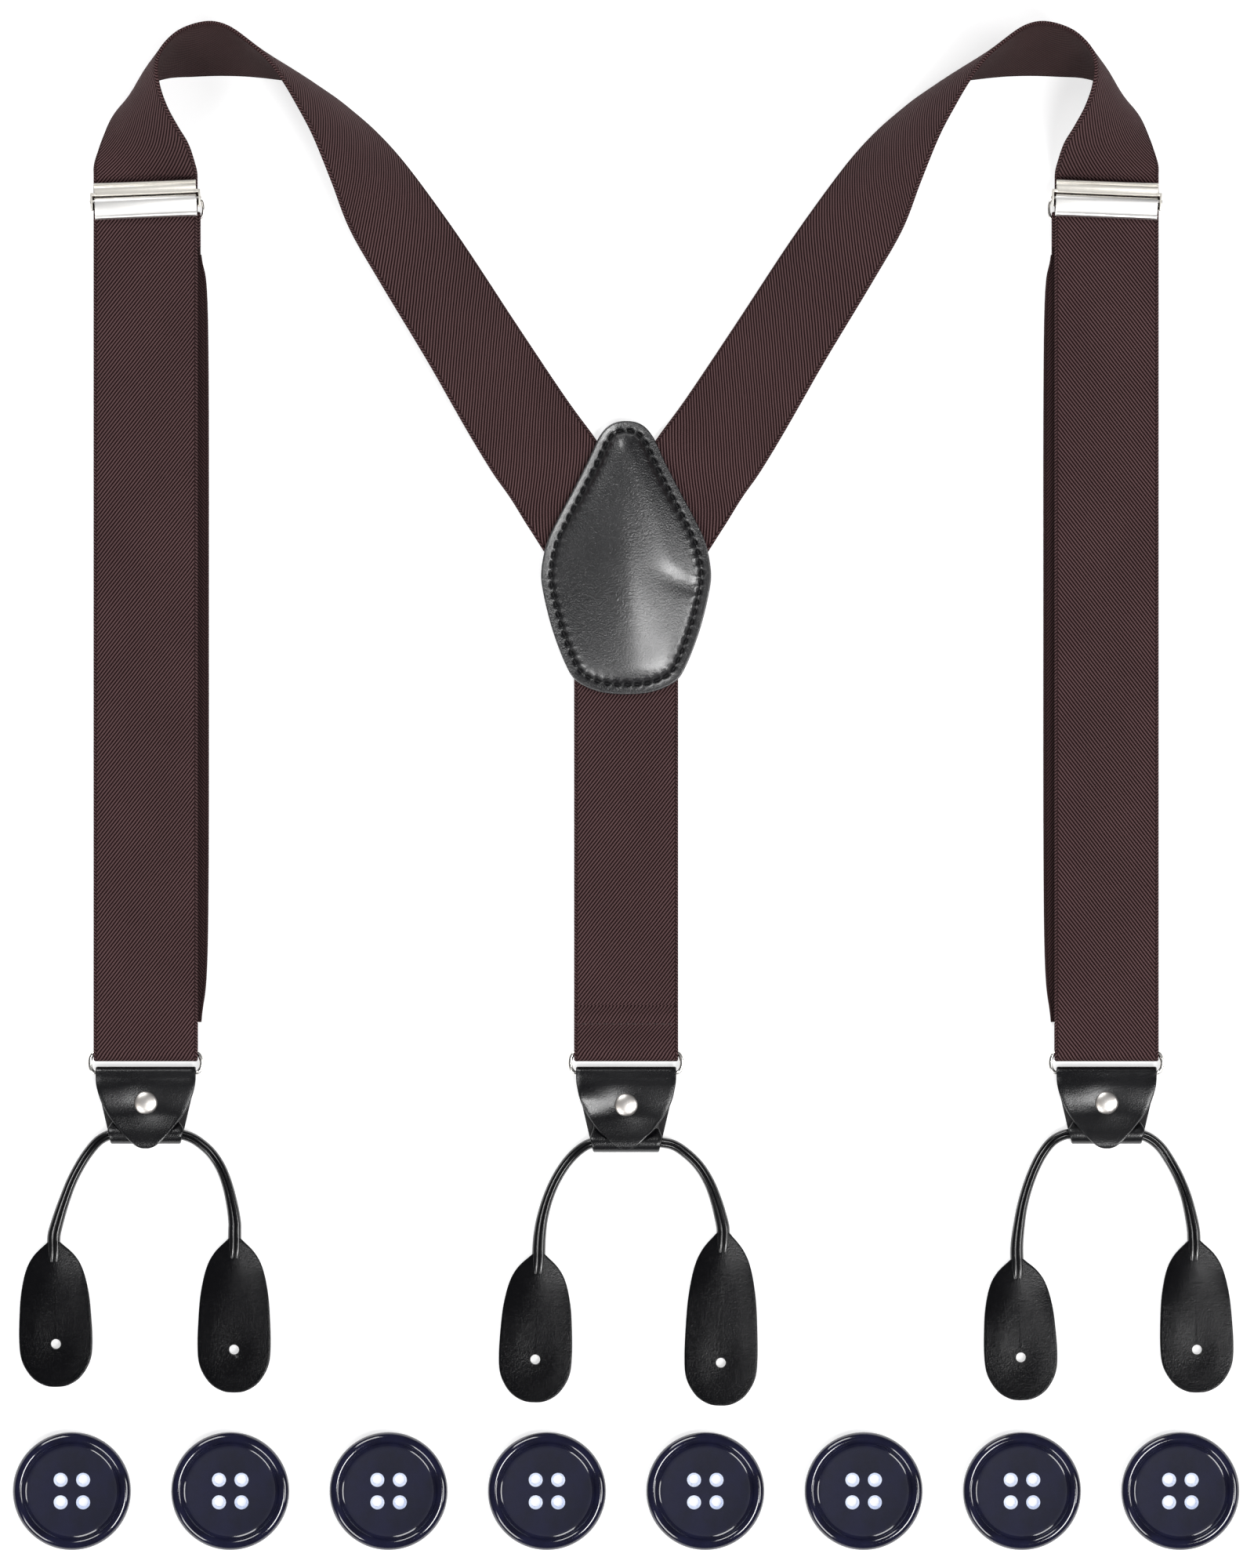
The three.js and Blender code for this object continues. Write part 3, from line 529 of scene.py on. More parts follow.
def plastic_material(name, base, deep, rough_low, rough_high, ripple, coat=0.0, gloss=0.55):
    """Button resin, with a faint cloudiness and fine turning marks."""
    s = Shader(name, Coat_Weight=coat, Coat_Roughness=0.04, Specular_IOR_Level=gloss)
    where = s.place()
    split = s.tree.nodes.new("ShaderNodeSeparateXYZ")
    s.feed(split.inputs[0], where)
    x, y = split.outputs[0], split.outputs[1]
    radius = s.math("SQRT", s.math("ADD", s.math("MULTIPLY", x, x), s.math("MULTIPLY", y, y)))
    marks = s.math("SINE", s.math("MULTIPLY", radius, 9000.0))
    cloud = s.noise(where, 120.0, 4.0)
    grit = s.noise(where, 2400.0, 2.0)
    s.drive("Base Color", s.mix(s.fit(cloud, 0.3, 0.75), base, deep))
    s.drive("Roughness", s.fit(grit, 0.3, 0.7, rough_low, rough_high))
    height = s.math("MULTIPLY_ADD", marks, 0.3, s.math("MULTIPLY", grit, 1.2))
    s.bump(height, ripple * MM, 0.5)
    return s.material


def thread_material(name, dark, light):
    """Twisted waxed thread."""
    s = Shader(name, Roughness=0.6, Specular_IOR_Level=0.4)
    where = s.place()
    twist = s.node("Mapping", {"Vector": where, "Rotation": (0.4, 0.6, 0.9)})
    ply = s.node(
        "TexWave", {"Vector": twist, "Scale": 900.0, "Distortion": 2.0, "Detail": 2.0}, output="Fac"
    )
    s.drive("Base Color", s.mix(ply, dark, light))
    s.drive("Roughness", s.blend(ply, 0.75, 0.5))
    s.bump(ply, 0.00008)
    return s.material


def felt_material(name, dark, light):
    s = Shader(name, Roughness=0.95, Sheen_Weight=0.3)
    fibres = s.noise(s.place(), 1500.0, 6.0, 0.7)
    s.drive("Base Color", s.mix(fibres, dark, light))
    s.drive("Roughness", s.blend(fibres, 0.98, 0.86))
    s.bump(fibres, 0.0003)
    return s.material


def floor_material():
    """Pale matt table, with a glow of its own so that it stays pale far from the lamps."""
    s = Shader("table", Roughness=0.9, Specular_IOR_Level=0.1)
    grain = s.noise(s.place(), 6.0, 2.0)
    s.drive("Base Color", s.mix(grain, (0.61, 0.61, 0.615, 1), (0.64, 0.64, 0.64, 1)))
    s.surface.inputs["Emission Color"].default_value = (1, 1, 1, 1)
    s.surface.inputs["Emission Strength"].default_value = 0.62
    return s.material


WEB_FACE = webbing_material("webbing_face", (22, 4, 5), (94, 70, 71), 1, RIB_SPACING)
WEB_REVERSE = webbing_material("webbing_reverse", (28, 14, 15), (68, 48, 48), -1, RIB_SPACING * 0.8)
PATCH_LEATHER = leather_material("leather_patch", 0.62, 0.13, (9, 9, 12), (16, 15, 19), 0.3, 0.4, 0.65, 1.0)
STRAP_LEATHER = leather_material("leather_strap", 0.46, 0.05, (8, 8, 11), (12, 12, 15), 0.22, 0.32, 0.3)
CORD_LEATHER = leather_material("leather_rolled", 0.45, 0.006, (7, 7, 9), (12, 12, 15), 0.14, 0.24, 0.4)
TAB_LEATHER = leather_material("leather_tab", 0.46, 0.055, (5, 5, 7), (8, 8, 11), 0.16, 0.26, gloss=0.26)
SUEDE = leather_material("leather_lining", 0.35, 0.12, (26, 25, 27), (44, 42, 44), 0.7, 0.9)
FELT = felt_material("padding_felt", (38, 38, 38), (62, 60, 58))
THREAD = thread_material("seam_thread", (4, 4, 5), (16, 16, 19))
WEB_THREAD = thread_material("hem_thread", (40, 25, 26), (84, 64, 64))
SATIN_NICKEL = metal_material("nickel_satin", (232, 228, 220), (220, 216, 208), 0.44, 0.52, 0.3)
LEVER_NICKEL = metal_material("nickel_lever", (252, 251, 249), (246, 244, 241), 0.4, 0.46, 0.15)
BRIGHT_NICKEL = metal_material("nickel_bright", (248, 246, 242), (236, 233, 228), 0.2, 0.3, 0.2)
RIVET_NICKEL = metal_material("nickel_rivet", (238, 234, 230), (216, 208, 200), 0.34, 0.44, 0.3)
RIM_RESIN = plastic_material("button_rim", (24, 25, 50), (14, 14, 32), 0.08, 0.14, 0.002, 0.5)
FACE_RESIN = plastic_material("button_face", (13, 15, 44), (6, 8, 30), 0.54, 0.62, 0.004, gloss=0.25)
# The holes' walls: painted light, near white for the bright table that shows through the holes.
HOLE_PAINTED_LIGHT = plastic_material("button_hole_painted_light", (236, 241, 252), (208, 218, 240), 0.35, 0.5, 0.004)


# ---- Webbing ----

# Each row of a shoulder loop: the edge that stands on the table, then the lifted edge, each as a distance out
# from the middle and a y, then how far the webbing bellies out between them.
SHOULDER_ROWS = [
    (178.7, 204.7, 143.7, 204.7, 0.0), (178.6, 208.4, 144.7, 209.9, 0.2),
    (177.4, 212.6, 146.5, 215.2, 0.6), (175.4, 217.8, 149.7, 220.5, 1.2),
    (172.1, 224.7, 153.2, 226.8, 2.0), (166.8, 230.7, 155.8, 233.9, 2.4),
    (160.8, 235.7, 156.6, 241.0, 2.4), (153.7, 238.1, 154.7, 246.8, 2.0),
    (145.0, 238.6, 148.9, 252.6, 1.2), (135.8, 238.9, 140.5, 255.4, 0.5),
    (126.1, 238.6, 133.7, 254.2, 0.4), (116.1, 237.6, 126.8, 249.4, 0.5),
    (107.4, 236.3, 120.8, 244.1, 0.8), (99.2, 231.8, 115.5, 237.3, 1.2),
    (91.8, 226.2, 110.5, 228.9, 1.5), (83.9, 219.4, 104.5, 217.3, 1.6),
    (75.3, 210.2, 98.4, 202.0, 1.6), (64.7, 196.5, 92.1, 185.7, 1.4),
    (53.4, 180.5, 82.9, 169.7, 1.0), (37.1, 155.7, 65.0, 139.9, 0.6),
    (20.3, 130.7, 48.0, 110.4, 0.2), (10.3, 117.0, 39.9, 98.4, 0.0), (3.9, 106.8, 33.5, 88.2, 0.0),
    (0.8, 101.9, 22.8, 71.3, 0.0),
]
EDGE_REST_Z = 0.9
FLAT_ROWS = 3
ACROSS = np.array([0.7, 3.5, 8, 12.7, 17.5, 22.3, 27, 31.5, 34.3])


def shoulder_edges(side):
    """The two edges of a shoulder loop and its belly, as smooth lines in the order of SHOULDER_ROWS."""
    rows = len(SHOULDER_ROWS)
    ends = []
    for i, (out_x, out_y, in_x, in_y, belly) in enumerate(SHOULDER_ROWS):
        settled = min(1.0, i / 4)
        standing = i < rows - FLAT_ROWS
        z = FRONT_Z + (EDGE_REST_Z - FRONT_Z) * settled if standing else PATCH_WEB_Z
        reach = math.hypot(out_x - in_x, out_y - in_y)
        lift = math.sqrt(max(0.0, WEB_WIDTH**2 - reach**2)) if standing else 0.0
        ends.append((side * out_x, out_y, z, side * in_x, in_y, z + lift, belly))
    line = spline(ends, 8)
    outer, inner, belly = line[:, :3], line[:, 3:6], line[:, 6]
    whole = line.shape[0] - 8
    inner[:whole] = outer[:whole] + unit(inner[:whole] - outer[:whole]) * WEB_WIDTH
    return outer, inner, belly


def across_rows(outer, inner, belly, facing):
    """A middle surface between two edges, bellied along its normal."""
    share = (ACROSS / WEB_WIDTH)[None, :, None]
    grid = outer[:, None] * (1 - share) + inner[:, None] * share
    normal = unit(np.cross(inner - outer, np.gradient(grid[:, len(ACROSS) // 2], axis=0)))
    bow = 1 - (2 * share[..., 0] - 1) ** 2
    return grid + normal[:, None] * facing * (np.asarray(belly)[:, None] * bow)[..., None]


def level_edges(path, side, out, into):
    """Two edges of webbing that runs in the YZ plane, out and into being their distances from the middle."""
    path = np.asarray(path, float)
    outer = np.column_stack([np.full(len(path), side * out), path])
    inner = np.column_stack([np.full(len(path), side * into), path])
    return outer, inner


def cloth_length(grid):
    return round(float(distance_along(grid[:, len(ACROSS) // 2])[-1]) * MM, 4)


def declare_webbing(grid):
    cloth_length(grid)


def shoulder_strap(name, side):
    path = [(RING_TOP_Y + FOLD_TAIL, UNDER_Z), (RING_TOP_Y + 2, UNDER_Z)]
    path += arc(RING_TOP_Y, AXIS_Z, FOLD_R, 270, 90, 16)
    path += [(RING_TOP_Y + 4, FRONT_Z), (LOOP_START_Y - 4, FRONT_Z)]
    path = spaced(path, 9)
    outer, inner = level_edges(path, side, SIDE_X + WEB_HALF, SIDE_X - WEB_HALF)
    loop_outer, loop_inner, belly = shoulder_edges(side)
    outer = np.vstack([outer, loop_outer])
    inner = np.vstack([inner, loop_inner])
    belly = np.concatenate([np.zeros(len(path)), belly])
    facing = -side
    grid = across_rows(outer, inner, belly, facing)
    drift = np.sin(grid[:, :, 1] / 17.0) * 0.06 + np.sin(grid[:, :, 1] / 31.0 + side) * 0.09
    flat = (grid[:, :, 1] > RING_TOP_Y + 8) & (np.abs(grid[:, :, 0]) > 140) & (grid[:, :, 2] > 4)
    grid[:, :, 2] += np.where(flat & (grid[:, :, 1] < LOOP_START_Y - 12), drift, 0)
    piece = strip(f"shoulder_webbing_{name}", grid, WEB_THICK, ACROSS, facing, [WEB_FACE, WEB_REVERSE])
    settle(piece, "webbing", "webbing", f"shoulder_strap_{name}")
    declare_webbing(grid)


def return_strap(name, side):
    top_y = ADJUSTER_Y - LINK_PITCH - HEM_LENGTH - GAP
    ends = [
        (RING_TOP_Y + FOLD_TAIL + GAP, RETURN_END_SHIFT), (-50, RETURN_SHIFT),
        (60, RETURN_SHIFT + 0.3), (ADJUSTER_Y - 40, RETURN_SHIFT), (top_y, RETURN_END_SHIFT),
    ]
    line = spline(ends, 10)
    z = np.full(len(line), UNDER_Z)
    outer = np.column_stack([side * (SIDE_X - line[:, 1] + WEB_HALF), line[:, 0], z])
    inner = np.column_stack([side * (SIDE_X - line[:, 1] - WEB_HALF), line[:, 0], z])
    grid = across_rows(outer, inner, np.zeros(len(line)), -side)
    piece = strip(f"return_webbing_{name}", grid, WEB_THICK, ACROSS, side, [WEB_FACE, WEB_REVERSE])
    settle(piece, "webbing", "webbing", f"return_strap_{name}")
    declare_webbing(grid)
    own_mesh(piece)


def return_hem(name, side):
    bar_y = ADJUSTER_Y - LINK_PITCH
    radius = LINK_Z - UNDER_Z
    path = [(bar_y - HEM_LENGTH - HEM_LAP, UNDER_Z)] + arc(bar_y, LINK_Z, radius, -90, 90, 12)
    path += [(bar_y - HEM_LENGTH + 2, LINK_Z + radius)]
    path = spaced(path, 4)
    centre = SIDE_X - RETURN_END_SHIFT
    outer, inner = level_edges(path, side, centre + HEM_HALF + HEM_WIDER, centre - HEM_HALF - HEM_WIDER)
    grid = across_rows(outer, inner, np.zeros(len(path)), -side)
    hem = strip(f"return_hem_webbing_{name}", grid, WEB_THICK, ACROSS, side, [WEB_FACE, WEB_REVERSE])
    row_y = bar_y - HEM_LENGTH + 4
    row = stitch_row(f"return_hem_thread_{name}", side * centre, row_y, LINK_Z + radius + 0.7, 15)
    hem = joined(hem.name, [hem, row])
    settle(hem, f"adjuster_{name}", "webbing", f"return_hem_{name}")


def capsule(centre, direction, length, radius, lift):
    """Rings of a short stitch that dives into the cloth at both ends."""
    direction = unit(np.array(direction, float))
    side = np.array([-direction[1], direction[0], 0.0])
    rings = []
    for t in np.linspace(-1, 1, 7):
        swell = max(0.12, math.sqrt(max(0.0, 1 - t * t * 0.96)))
        middle = np.array(centre, float) + direction * t * length / 2
        middle[2] += lift * (1 - t * t)
        ring = []
        for a in np.arange(8) * math.pi / 4:
            spread = side * math.cos(a) + np.array([0, 0, 1]) * math.sin(a)
            ring.append(middle + spread * radius * swell)
        rings.append(ring)
    return np.array(rings)


def stitches(name, places, length, radius, lift, material):
    """One object of many short stitches. places holds each one's middle and direction."""
    points, faces = [], []
    for centre, direction in places:
        rings = capsule(centre, direction, length, radius, lift)
        start = len(points)
        points += rings.reshape(-1, 3).tolist()
        for i in range(6):
            for j in range(8):
                k = (j + 1) % 8
                a, b = start + i * 8, start + (i + 1) * 8
                faces.append((a + j, a + k, b + k, b + j))
        faces += [tuple(start + j for j in range(8)), tuple(start + 48 + j for j in range(8))]
    return build(name, points, faces, [material], sharp=60)


def stitch_row(name, x, y, z, half):
    """A straight row of stitches across a strap."""
    places = [((x + off, y, z), (1, 0, 0)) for off in np.arange(-half, half + 0.1, 2.4)]
    return stitches(name, places, 1.9, 0.24, 0.12, WEB_THREAD)


def back_strap():
    fold = arc(RING_TOP_Y, AXIS_Z, FOLD_R, 90, 270, 16)
    path = [
        (60, PATCH_WEB_Z), (45, PATCH_WEB_Z), (28, PATCH_WEB_Z), (18, 1.3), (8, UNDER_Z),
        (-10, UNDER_Z), (-40, UNDER_Z), (-70, UNDER_Z), (-74, 1.3), (-77, 2.5), (-79.6, 2.45),
        (-81.5, 2.9), (-85.5, 4.7),
    ]
    path = [*spline(path, 4), *fold, (RING_TOP_Y + 6, UNDER_Z), (RING_TOP_Y + 11.5, UNDER_Z)]
    outer, inner = level_edges(path, -1, WEB_HALF, -WEB_HALF)
    grid = across_rows(outer, inner, np.zeros(len(path)), 1)
    cloth = strip("back_webbing", grid[::-1], WEB_THICK, ACROSS, 1, [WEB_FACE, WEB_REVERSE])
    settle(cloth, "webbing", "webbing", "back_strap")
    declare_webbing(grid)
    row = stitch_row("back_hem_thread", 0, -79.5, 3.1, 16.4)
    settle(row, "webbing", "thread")


# ---- Back patch ----

PATCH_HALF_OUTLINE = [
    (0, 122.8), (5, 121.7), (8.9, 117.7), (13.4, 108.4), (18.4, 98.7), (22.8, 90.4), (26.6, 82.0),
    (28.5, 72.5), (27.8, 64.9), (24.8, 52.8), (20.4, 41.2), (16.5, 35.4), (9, 31.9), (0, 31),
]
PATCH_STITCH_IN = 3.3
PATCH_STITCH_PITCH = 3.4


def even_loop(points, step):
    """A closed smooth outline with its points evenly spaced, anticlockwise."""
    points = np.asarray(points, float)
    count = len(points)
    wrapped = np.vstack([points[-2:], points, points[:3]])
    fine = spline(wrapped, 24)[2 * 24 : (count + 2) * 24 + 1]
    along = distance_along(fine)
    at = np.linspace(0, along[-1], int(along[-1] / step) + 1)[:-1]
    made = np.column_stack([np.interp(at, along, fine[:, k]) for k in (0, 1)])
    area = np.sum(made[:, 0] * np.roll(made[:, 1], -1) - made[:, 1] * np.roll(made[:, 0], -1))
    return made if area > 0 else made[::-1]


def patch_outline(step, inset=0.0):
    right = PATCH_HALF_OUTLINE
    left = [(-x, y) for x, y in right[1:-1]][::-1]
    outline = even_loop(right + left, step)
    tangent = unit(np.roll(outline, -1, axis=0) - np.roll(outline, 1, axis=0))
    return outline + np.column_stack([-tangent[:, 1], tangent[:, 0]]) * inset


def patch_middle(outline):
    return np.column_stack([outline[:, 0] * 0, np.clip(outline[:, 1], 58, 98)])


def rounded_edge(depth, radius):
    """How far an edge's surface lies below the flat, depth in from the outline."""
    inside = np.clip(depth, 0, radius)
    return radius - np.sqrt(np.maximum(0, radius**2 - (radius - inside) ** 2))


def patch_top(dips):
    """A function for the front leather's heights. dips says how far the seam pulls down round the outline."""

    def top(p, depth):
        x, y = p[:, 0], p[:, 1]
        inner = np.maximum(0, depth - PATCH_STITCH_IN)
        dome = (1 - (np.hypot(x, 6) - 6) / 21.6) * (1 - ((y - 80) / 56) ** 2)
        lean = 0.5 * np.exp(-(((x + 4) / 13) ** 2)) * np.exp(-(((y - 74) / 22) ** 2))
        z = FRONT_LEATHER_Z + 1.7 - 0.25 * np.minimum(depth, PATCH_STITCH_IN) - rounded_edge(depth, 0.6)
        z += (1 - np.exp(-inner / 1.5)) * (0.6 + 5.2 * dome + lean)
        # The seam's groove and the small puckers inside it.
        z -= (0.1 + 0.85 * dips) * np.exp(-(((depth - PATCH_STITCH_IN) / 0.7) ** 2))
        z += 0.25 * (1 - dips) * np.exp(-(((depth - PATCH_STITCH_IN - 1.2) / 0.8) ** 2))
        # A soft crease at the right, and the crest that runs up to the top from it.
        valley = np.exp(-(((y - 68 + 0.35 * (x - 20)) / 3.4) ** 2)) / (1 + np.exp(-(x - 14) / 2.2))
        z -= 0.75 * valley * np.clip((depth - 3.6) / 2.5, 0, 1)
        beside = x - 2 - 0.43 * (108 - y)
        crest = np.exp(-((beside / np.where(beside < 0, 5.0, 3.0)) ** 2)) / (1 + np.exp(-(y - 74) / 2.5))
        z += 0.6 * crest * np.clip((depth - 4.5) / 4, 0, 1)
        return z

    return top


def add_patch_front():
    seam = patch_outline(0.5, PATCH_STITCH_IN)
    lap = distance_along(np.vstack([seam, seam[:1]]))
    count = round(lap[-1] / PATCH_STITCH_PITCH)
    pitch = lap[-1] / count
    dips = (0.5 - 0.5 * np.cos(2 * math.pi * lap[:-1] / pitch)) ** 0.6
    front = padded_shell(
        "patch_leather",
        patch_outline(0.5),
        patch_middle,
        [0, 0.08, 0.22, 0.42, 0.7, 1.3, 2.0, 2.4, 2.7, 3.0, 3.3, 3.6, 3.9, 4.25, 4.7, 5.3, 6.0],
        [0.08, 0.16, 0.25, 0.34, 0.44, 0.54, 0.64, 0.74, 0.84, 0.92, 0.975],
        patch_top(dips),
        lambda p, d: FRONT_LEATHER_Z + 0.02 + rounded_edge(d, 0.45) + 0 * p[:, 0],
        [PATCH_LEATHER],
    )
    settle(front, "webbing", "leather", "patch_front")

    def on_seam(at):
        return [np.interp(at, lap, np.append(seam[:, k], seam[0, k])) for k in (0, 1)]

    places = []
    for i in range(count):
        at = (i + 0.5) * pitch
        x, y = on_seam(at)
        ahead = on_seam((at + 0.4) % lap[-1])
        places.append(((x, y, FRONT_LEATHER_Z + 0.3), (ahead[0] - x, ahead[1] - y, 0)))
    thread = stitches("patch_stitches", places, 2.1, 0.4, 0.08, THREAD)
    settle(thread, "webbing", "thread", "patch_seam_thread")


def add_patch_back():
    pad = padded_shell(
        "patch_pad",
        patch_outline(1.5, 7.0),
        patch_middle,
        [0, 0.3, 0.8, 1.5, 2.5],
        [0.25, 0.5, 0.75, 0.97],
        lambda p, d: FRONT_LEATHER_Z + 0.5 + 0.4 * (1 - np.exp(-d / 3)) - rounded_edge(d, 0.25),
        lambda p, d: np.full(len(p), FRONT_LEATHER_Z + 0.1) + rounded_edge(d, 0.2),
        [FELT],
    )
    settle(pad, "webbing", "padding", "patch_padding")
    backing = padded_shell(
        "patch_lining",
        patch_outline(0.9, 0.8),
        patch_middle,
        [0, 0.12, 0.35, 0.6, 2.5, 5.0],
        [0.3, 0.6, 0.97],
        lambda p, d: 1.2 - rounded_edge(d, 0.35) + 0 * p[:, 0],
        lambda p, d: rounded_edge(d, 0.35) + 0 * p[:, 0],
        [SUEDE],
    )
    settle(backing, "webbing", "leather", "patch_backing")


# ---- Rings, carriers and rivets ----


def wire_loop(name, line, z, radius, material, sides=12):
    """A closed wire along a level line of x and y."""
    line = np.asarray(line, float)
    forward = unit(np.roll(line, -1, axis=0) - np.roll(line, 1, axis=0))
    out = np.column_stack([forward[:, 1], -forward[:, 0]])
    rings = []
    for p, o in zip(line, out):
        ring = []
        for a in np.arange(sides) * 2 * math.pi / sides:
            side = o * radius * math.cos(a)
            ring.append((p[0] + side[0], p[1] + side[1], z + radius * math.sin(a)))
        rings.append(ring)
    return tube(name, np.array(rings), [material], closed=True)


def long_loop(x, top_y, straight, end, pitch, steps):
    """Rows of x and y round a loop with two bars along X and rounded ends."""
    line = []
    for side in (1, -1):
        y = top_y - pitch * (side < 0)
        line += [(x + side * k, y) for k in np.linspace(-straight, straight, 8)[1:-1]]
        for t in np.linspace(0, 1, steps):
            angle = math.pi * (0.5 - t) * side
            out = side * (straight + end * math.cos(angle))
            line.append((x + out, top_y - pitch / 2 + pitch / 2 * math.sin(angle)))
    return line


def add_ring(name, x):
    line = long_loop(x, RING_TOP_Y, RING_STRAIGHT, RING_END, RING_PITCH, 17)
    ring = wire_loop(f"wire_ring_{name}", line, AXIS_Z, RING_WIRE_R, BRIGHT_NICKEL)
    settle(ring, f"ring_{name}", "nickel", f"ring_{name}")


CARRIER_TAPER = 0.232


def carrier_half(y):
    """Half the back layer's width: it tapers evenly from the ring down to the cord's fold."""
    return CARRIER_HALF - CARRIER_TAPER * max(0.0, RING_LOW_Y - 2 - y)


def carrier_rows(fold_y, rivet_y, tip_y):
    """Rows of y, z and half width, and how many of them are the flap's.

    They go from the flap's tip over the ring, down the back, round the cord and up inside.
    """
    back_z = AXIS_Z - CARRIER_RING_R
    over_z = 7.15
    low = rivet_y - 3.9
    flap = [
        (tip_y, over_z - 0.45, 0.8), (tip_y + 0.25, over_z - 0.3, 2.0),
        (tip_y + 0.8, over_z - 0.1, 3.1), (tip_y + 1.9, over_z, 4.5),
        (tip_y + 3.6, over_z - 0.15, 6.2), (low - 5.2, over_z - 0.55, 8.3), (low - 2.6, 5.9, 10.3),
        (low, 5.25, 12.2), (rivet_y - 1, 5.1, 13.9), (rivet_y + 2.5, 5.25, 15.2),
        (RING_LOW_Y - 5, 5.2, 15.9), (RING_LOW_Y - 3.2, 4.95, 16.2),
        (RING_LOW_Y - 1.5, 4.55, CARRIER_HALF),
    ]
    rows = list(spline(flap, 4))
    flap_rows = len(rows)
    rows += [(y, z, CARRIER_HALF) for y, z in arc(RING_LOW_Y, AXIS_Z, CARRIER_RING_R, 90, -90, 14)]
    back = np.linspace(RING_LOW_Y - 3, fold_y + 2, 8)
    rows += [(y, back_z, carrier_half(y)) for y in back]
    channel = arc(fold_y, CHANNEL_Z, CHANNEL_MID_R, 270, 50, 20)
    rows += [(y, z, carrier_half(y) - 0.1) for y, z in channel]
    rows += [(fold_y + 4.7, TAIL_Z, CARRIER_FOLD_HALF), (rivet_y, TAIL_Z, 9.5), (rivet_y + 5, TAIL_Z, 8)]
    return np.array([tuple(r) for r in rows]), flap_rows


def add_carrier(name, x, fold_y, rivet_y, tip_y, lift):
    rows, flap_rows = carrier_rows(fold_y, rivet_y, tip_y)
    share = np.linspace(-1, 1, 23)[None, :]
    half = rows[:, 2:3]
    grid = np.stack([x + share * half, rows[:, 0:1] + 0 * share, rows[:, 1:2] + 0 * share], axis=2)
    out, down = grid[:, :, 0] - x, grid[:, :, 1] - rivet_y
    on_flap = np.arange(len(rows))[:, None] < flap_rows
    pressed = 0.75 * np.exp(-((np.hypot(out, down) / 6.0) ** 2))
    lifted = 0.9 * np.clip((-out - 3) / 13, 0, 1) ** 1.6 * np.exp(-(((down - 2) / 6) ** 2)) * lift
    grid[:, :, 2] += np.where(on_flap, lifted - pressed, 0)
    across = np.linspace(-1, 1, 23) * CARRIER_HALF
    piece = strip(f"carrier_leather_{name}", grid, LEATHER, across, 1, [STRAP_LEATHER, SUEDE])
    hole = turned("hole", [(0, -2), (1.5, -2), (1.5, 12), (0, 12)], 24, [SUEDE])
    hole.location = (x * MM, rivet_y * MM, 0)
    carve(piece, hole)
    settle(piece, f"carrier_{name}", "leather", f"carrier_{name}")

    top = AXIS_Z + CARRIER_RING_R + LEATHER / 2 - 0.25
    low = AXIS_Z - CARRIER_RING_R - LEATHER / 2
    dome = [(3.88 * math.sin(a), top + 0.45 + 1.25 * math.cos(a)) for a in np.radians(np.linspace(88, 4, 10))]
    cap = [(0, low), (1.2, low), (1.2, top + 0.05), (3.3, top + 0.05), (3.7, top + 0.1), (3.9, top + 0.32)]
    cap += [*dome, (0, top + 1.7)]
    rivet = turned(f"rivet_dome_{name}", cap, 48, [RIVET_NICKEL])
    rivet.location = (x * MM, rivet_y * MM, 0)
    settle(rivet, f"carrier_{name}", "nickel", f"rivet_cap_{name}")
    disc = [(0, 0.03), (2.9, 0), (3.25, 0.08), (3.4, 0.22), (3.3, 0.38), (3.0, low - GAP), (0, low - GAP)]
    washer = turned(f"rivet_washer_{name}", disc, 40, [SATIN_NICKEL])
    washer.location = (x * MM, rivet_y * MM, 0)
    settle(washer, f"carrier_{name}", "nickel", f"rivet_back_{name}")


# ---- Rolled loops and tabs ----

TAB_SIDE = [
    (1.1, 0.4), (2.0, -0.1), (3.3, -1.3), (5.2, -3.0), (7.0, -5.0), (8.8, -8.0), (10.3, -12.5),
    (11.5, -19), (12.1, -27), (12.3, -34), (11.9, -39.5), (10.4, -43.6), (7.6, -47.3),
    (3.8, -49.5),
]
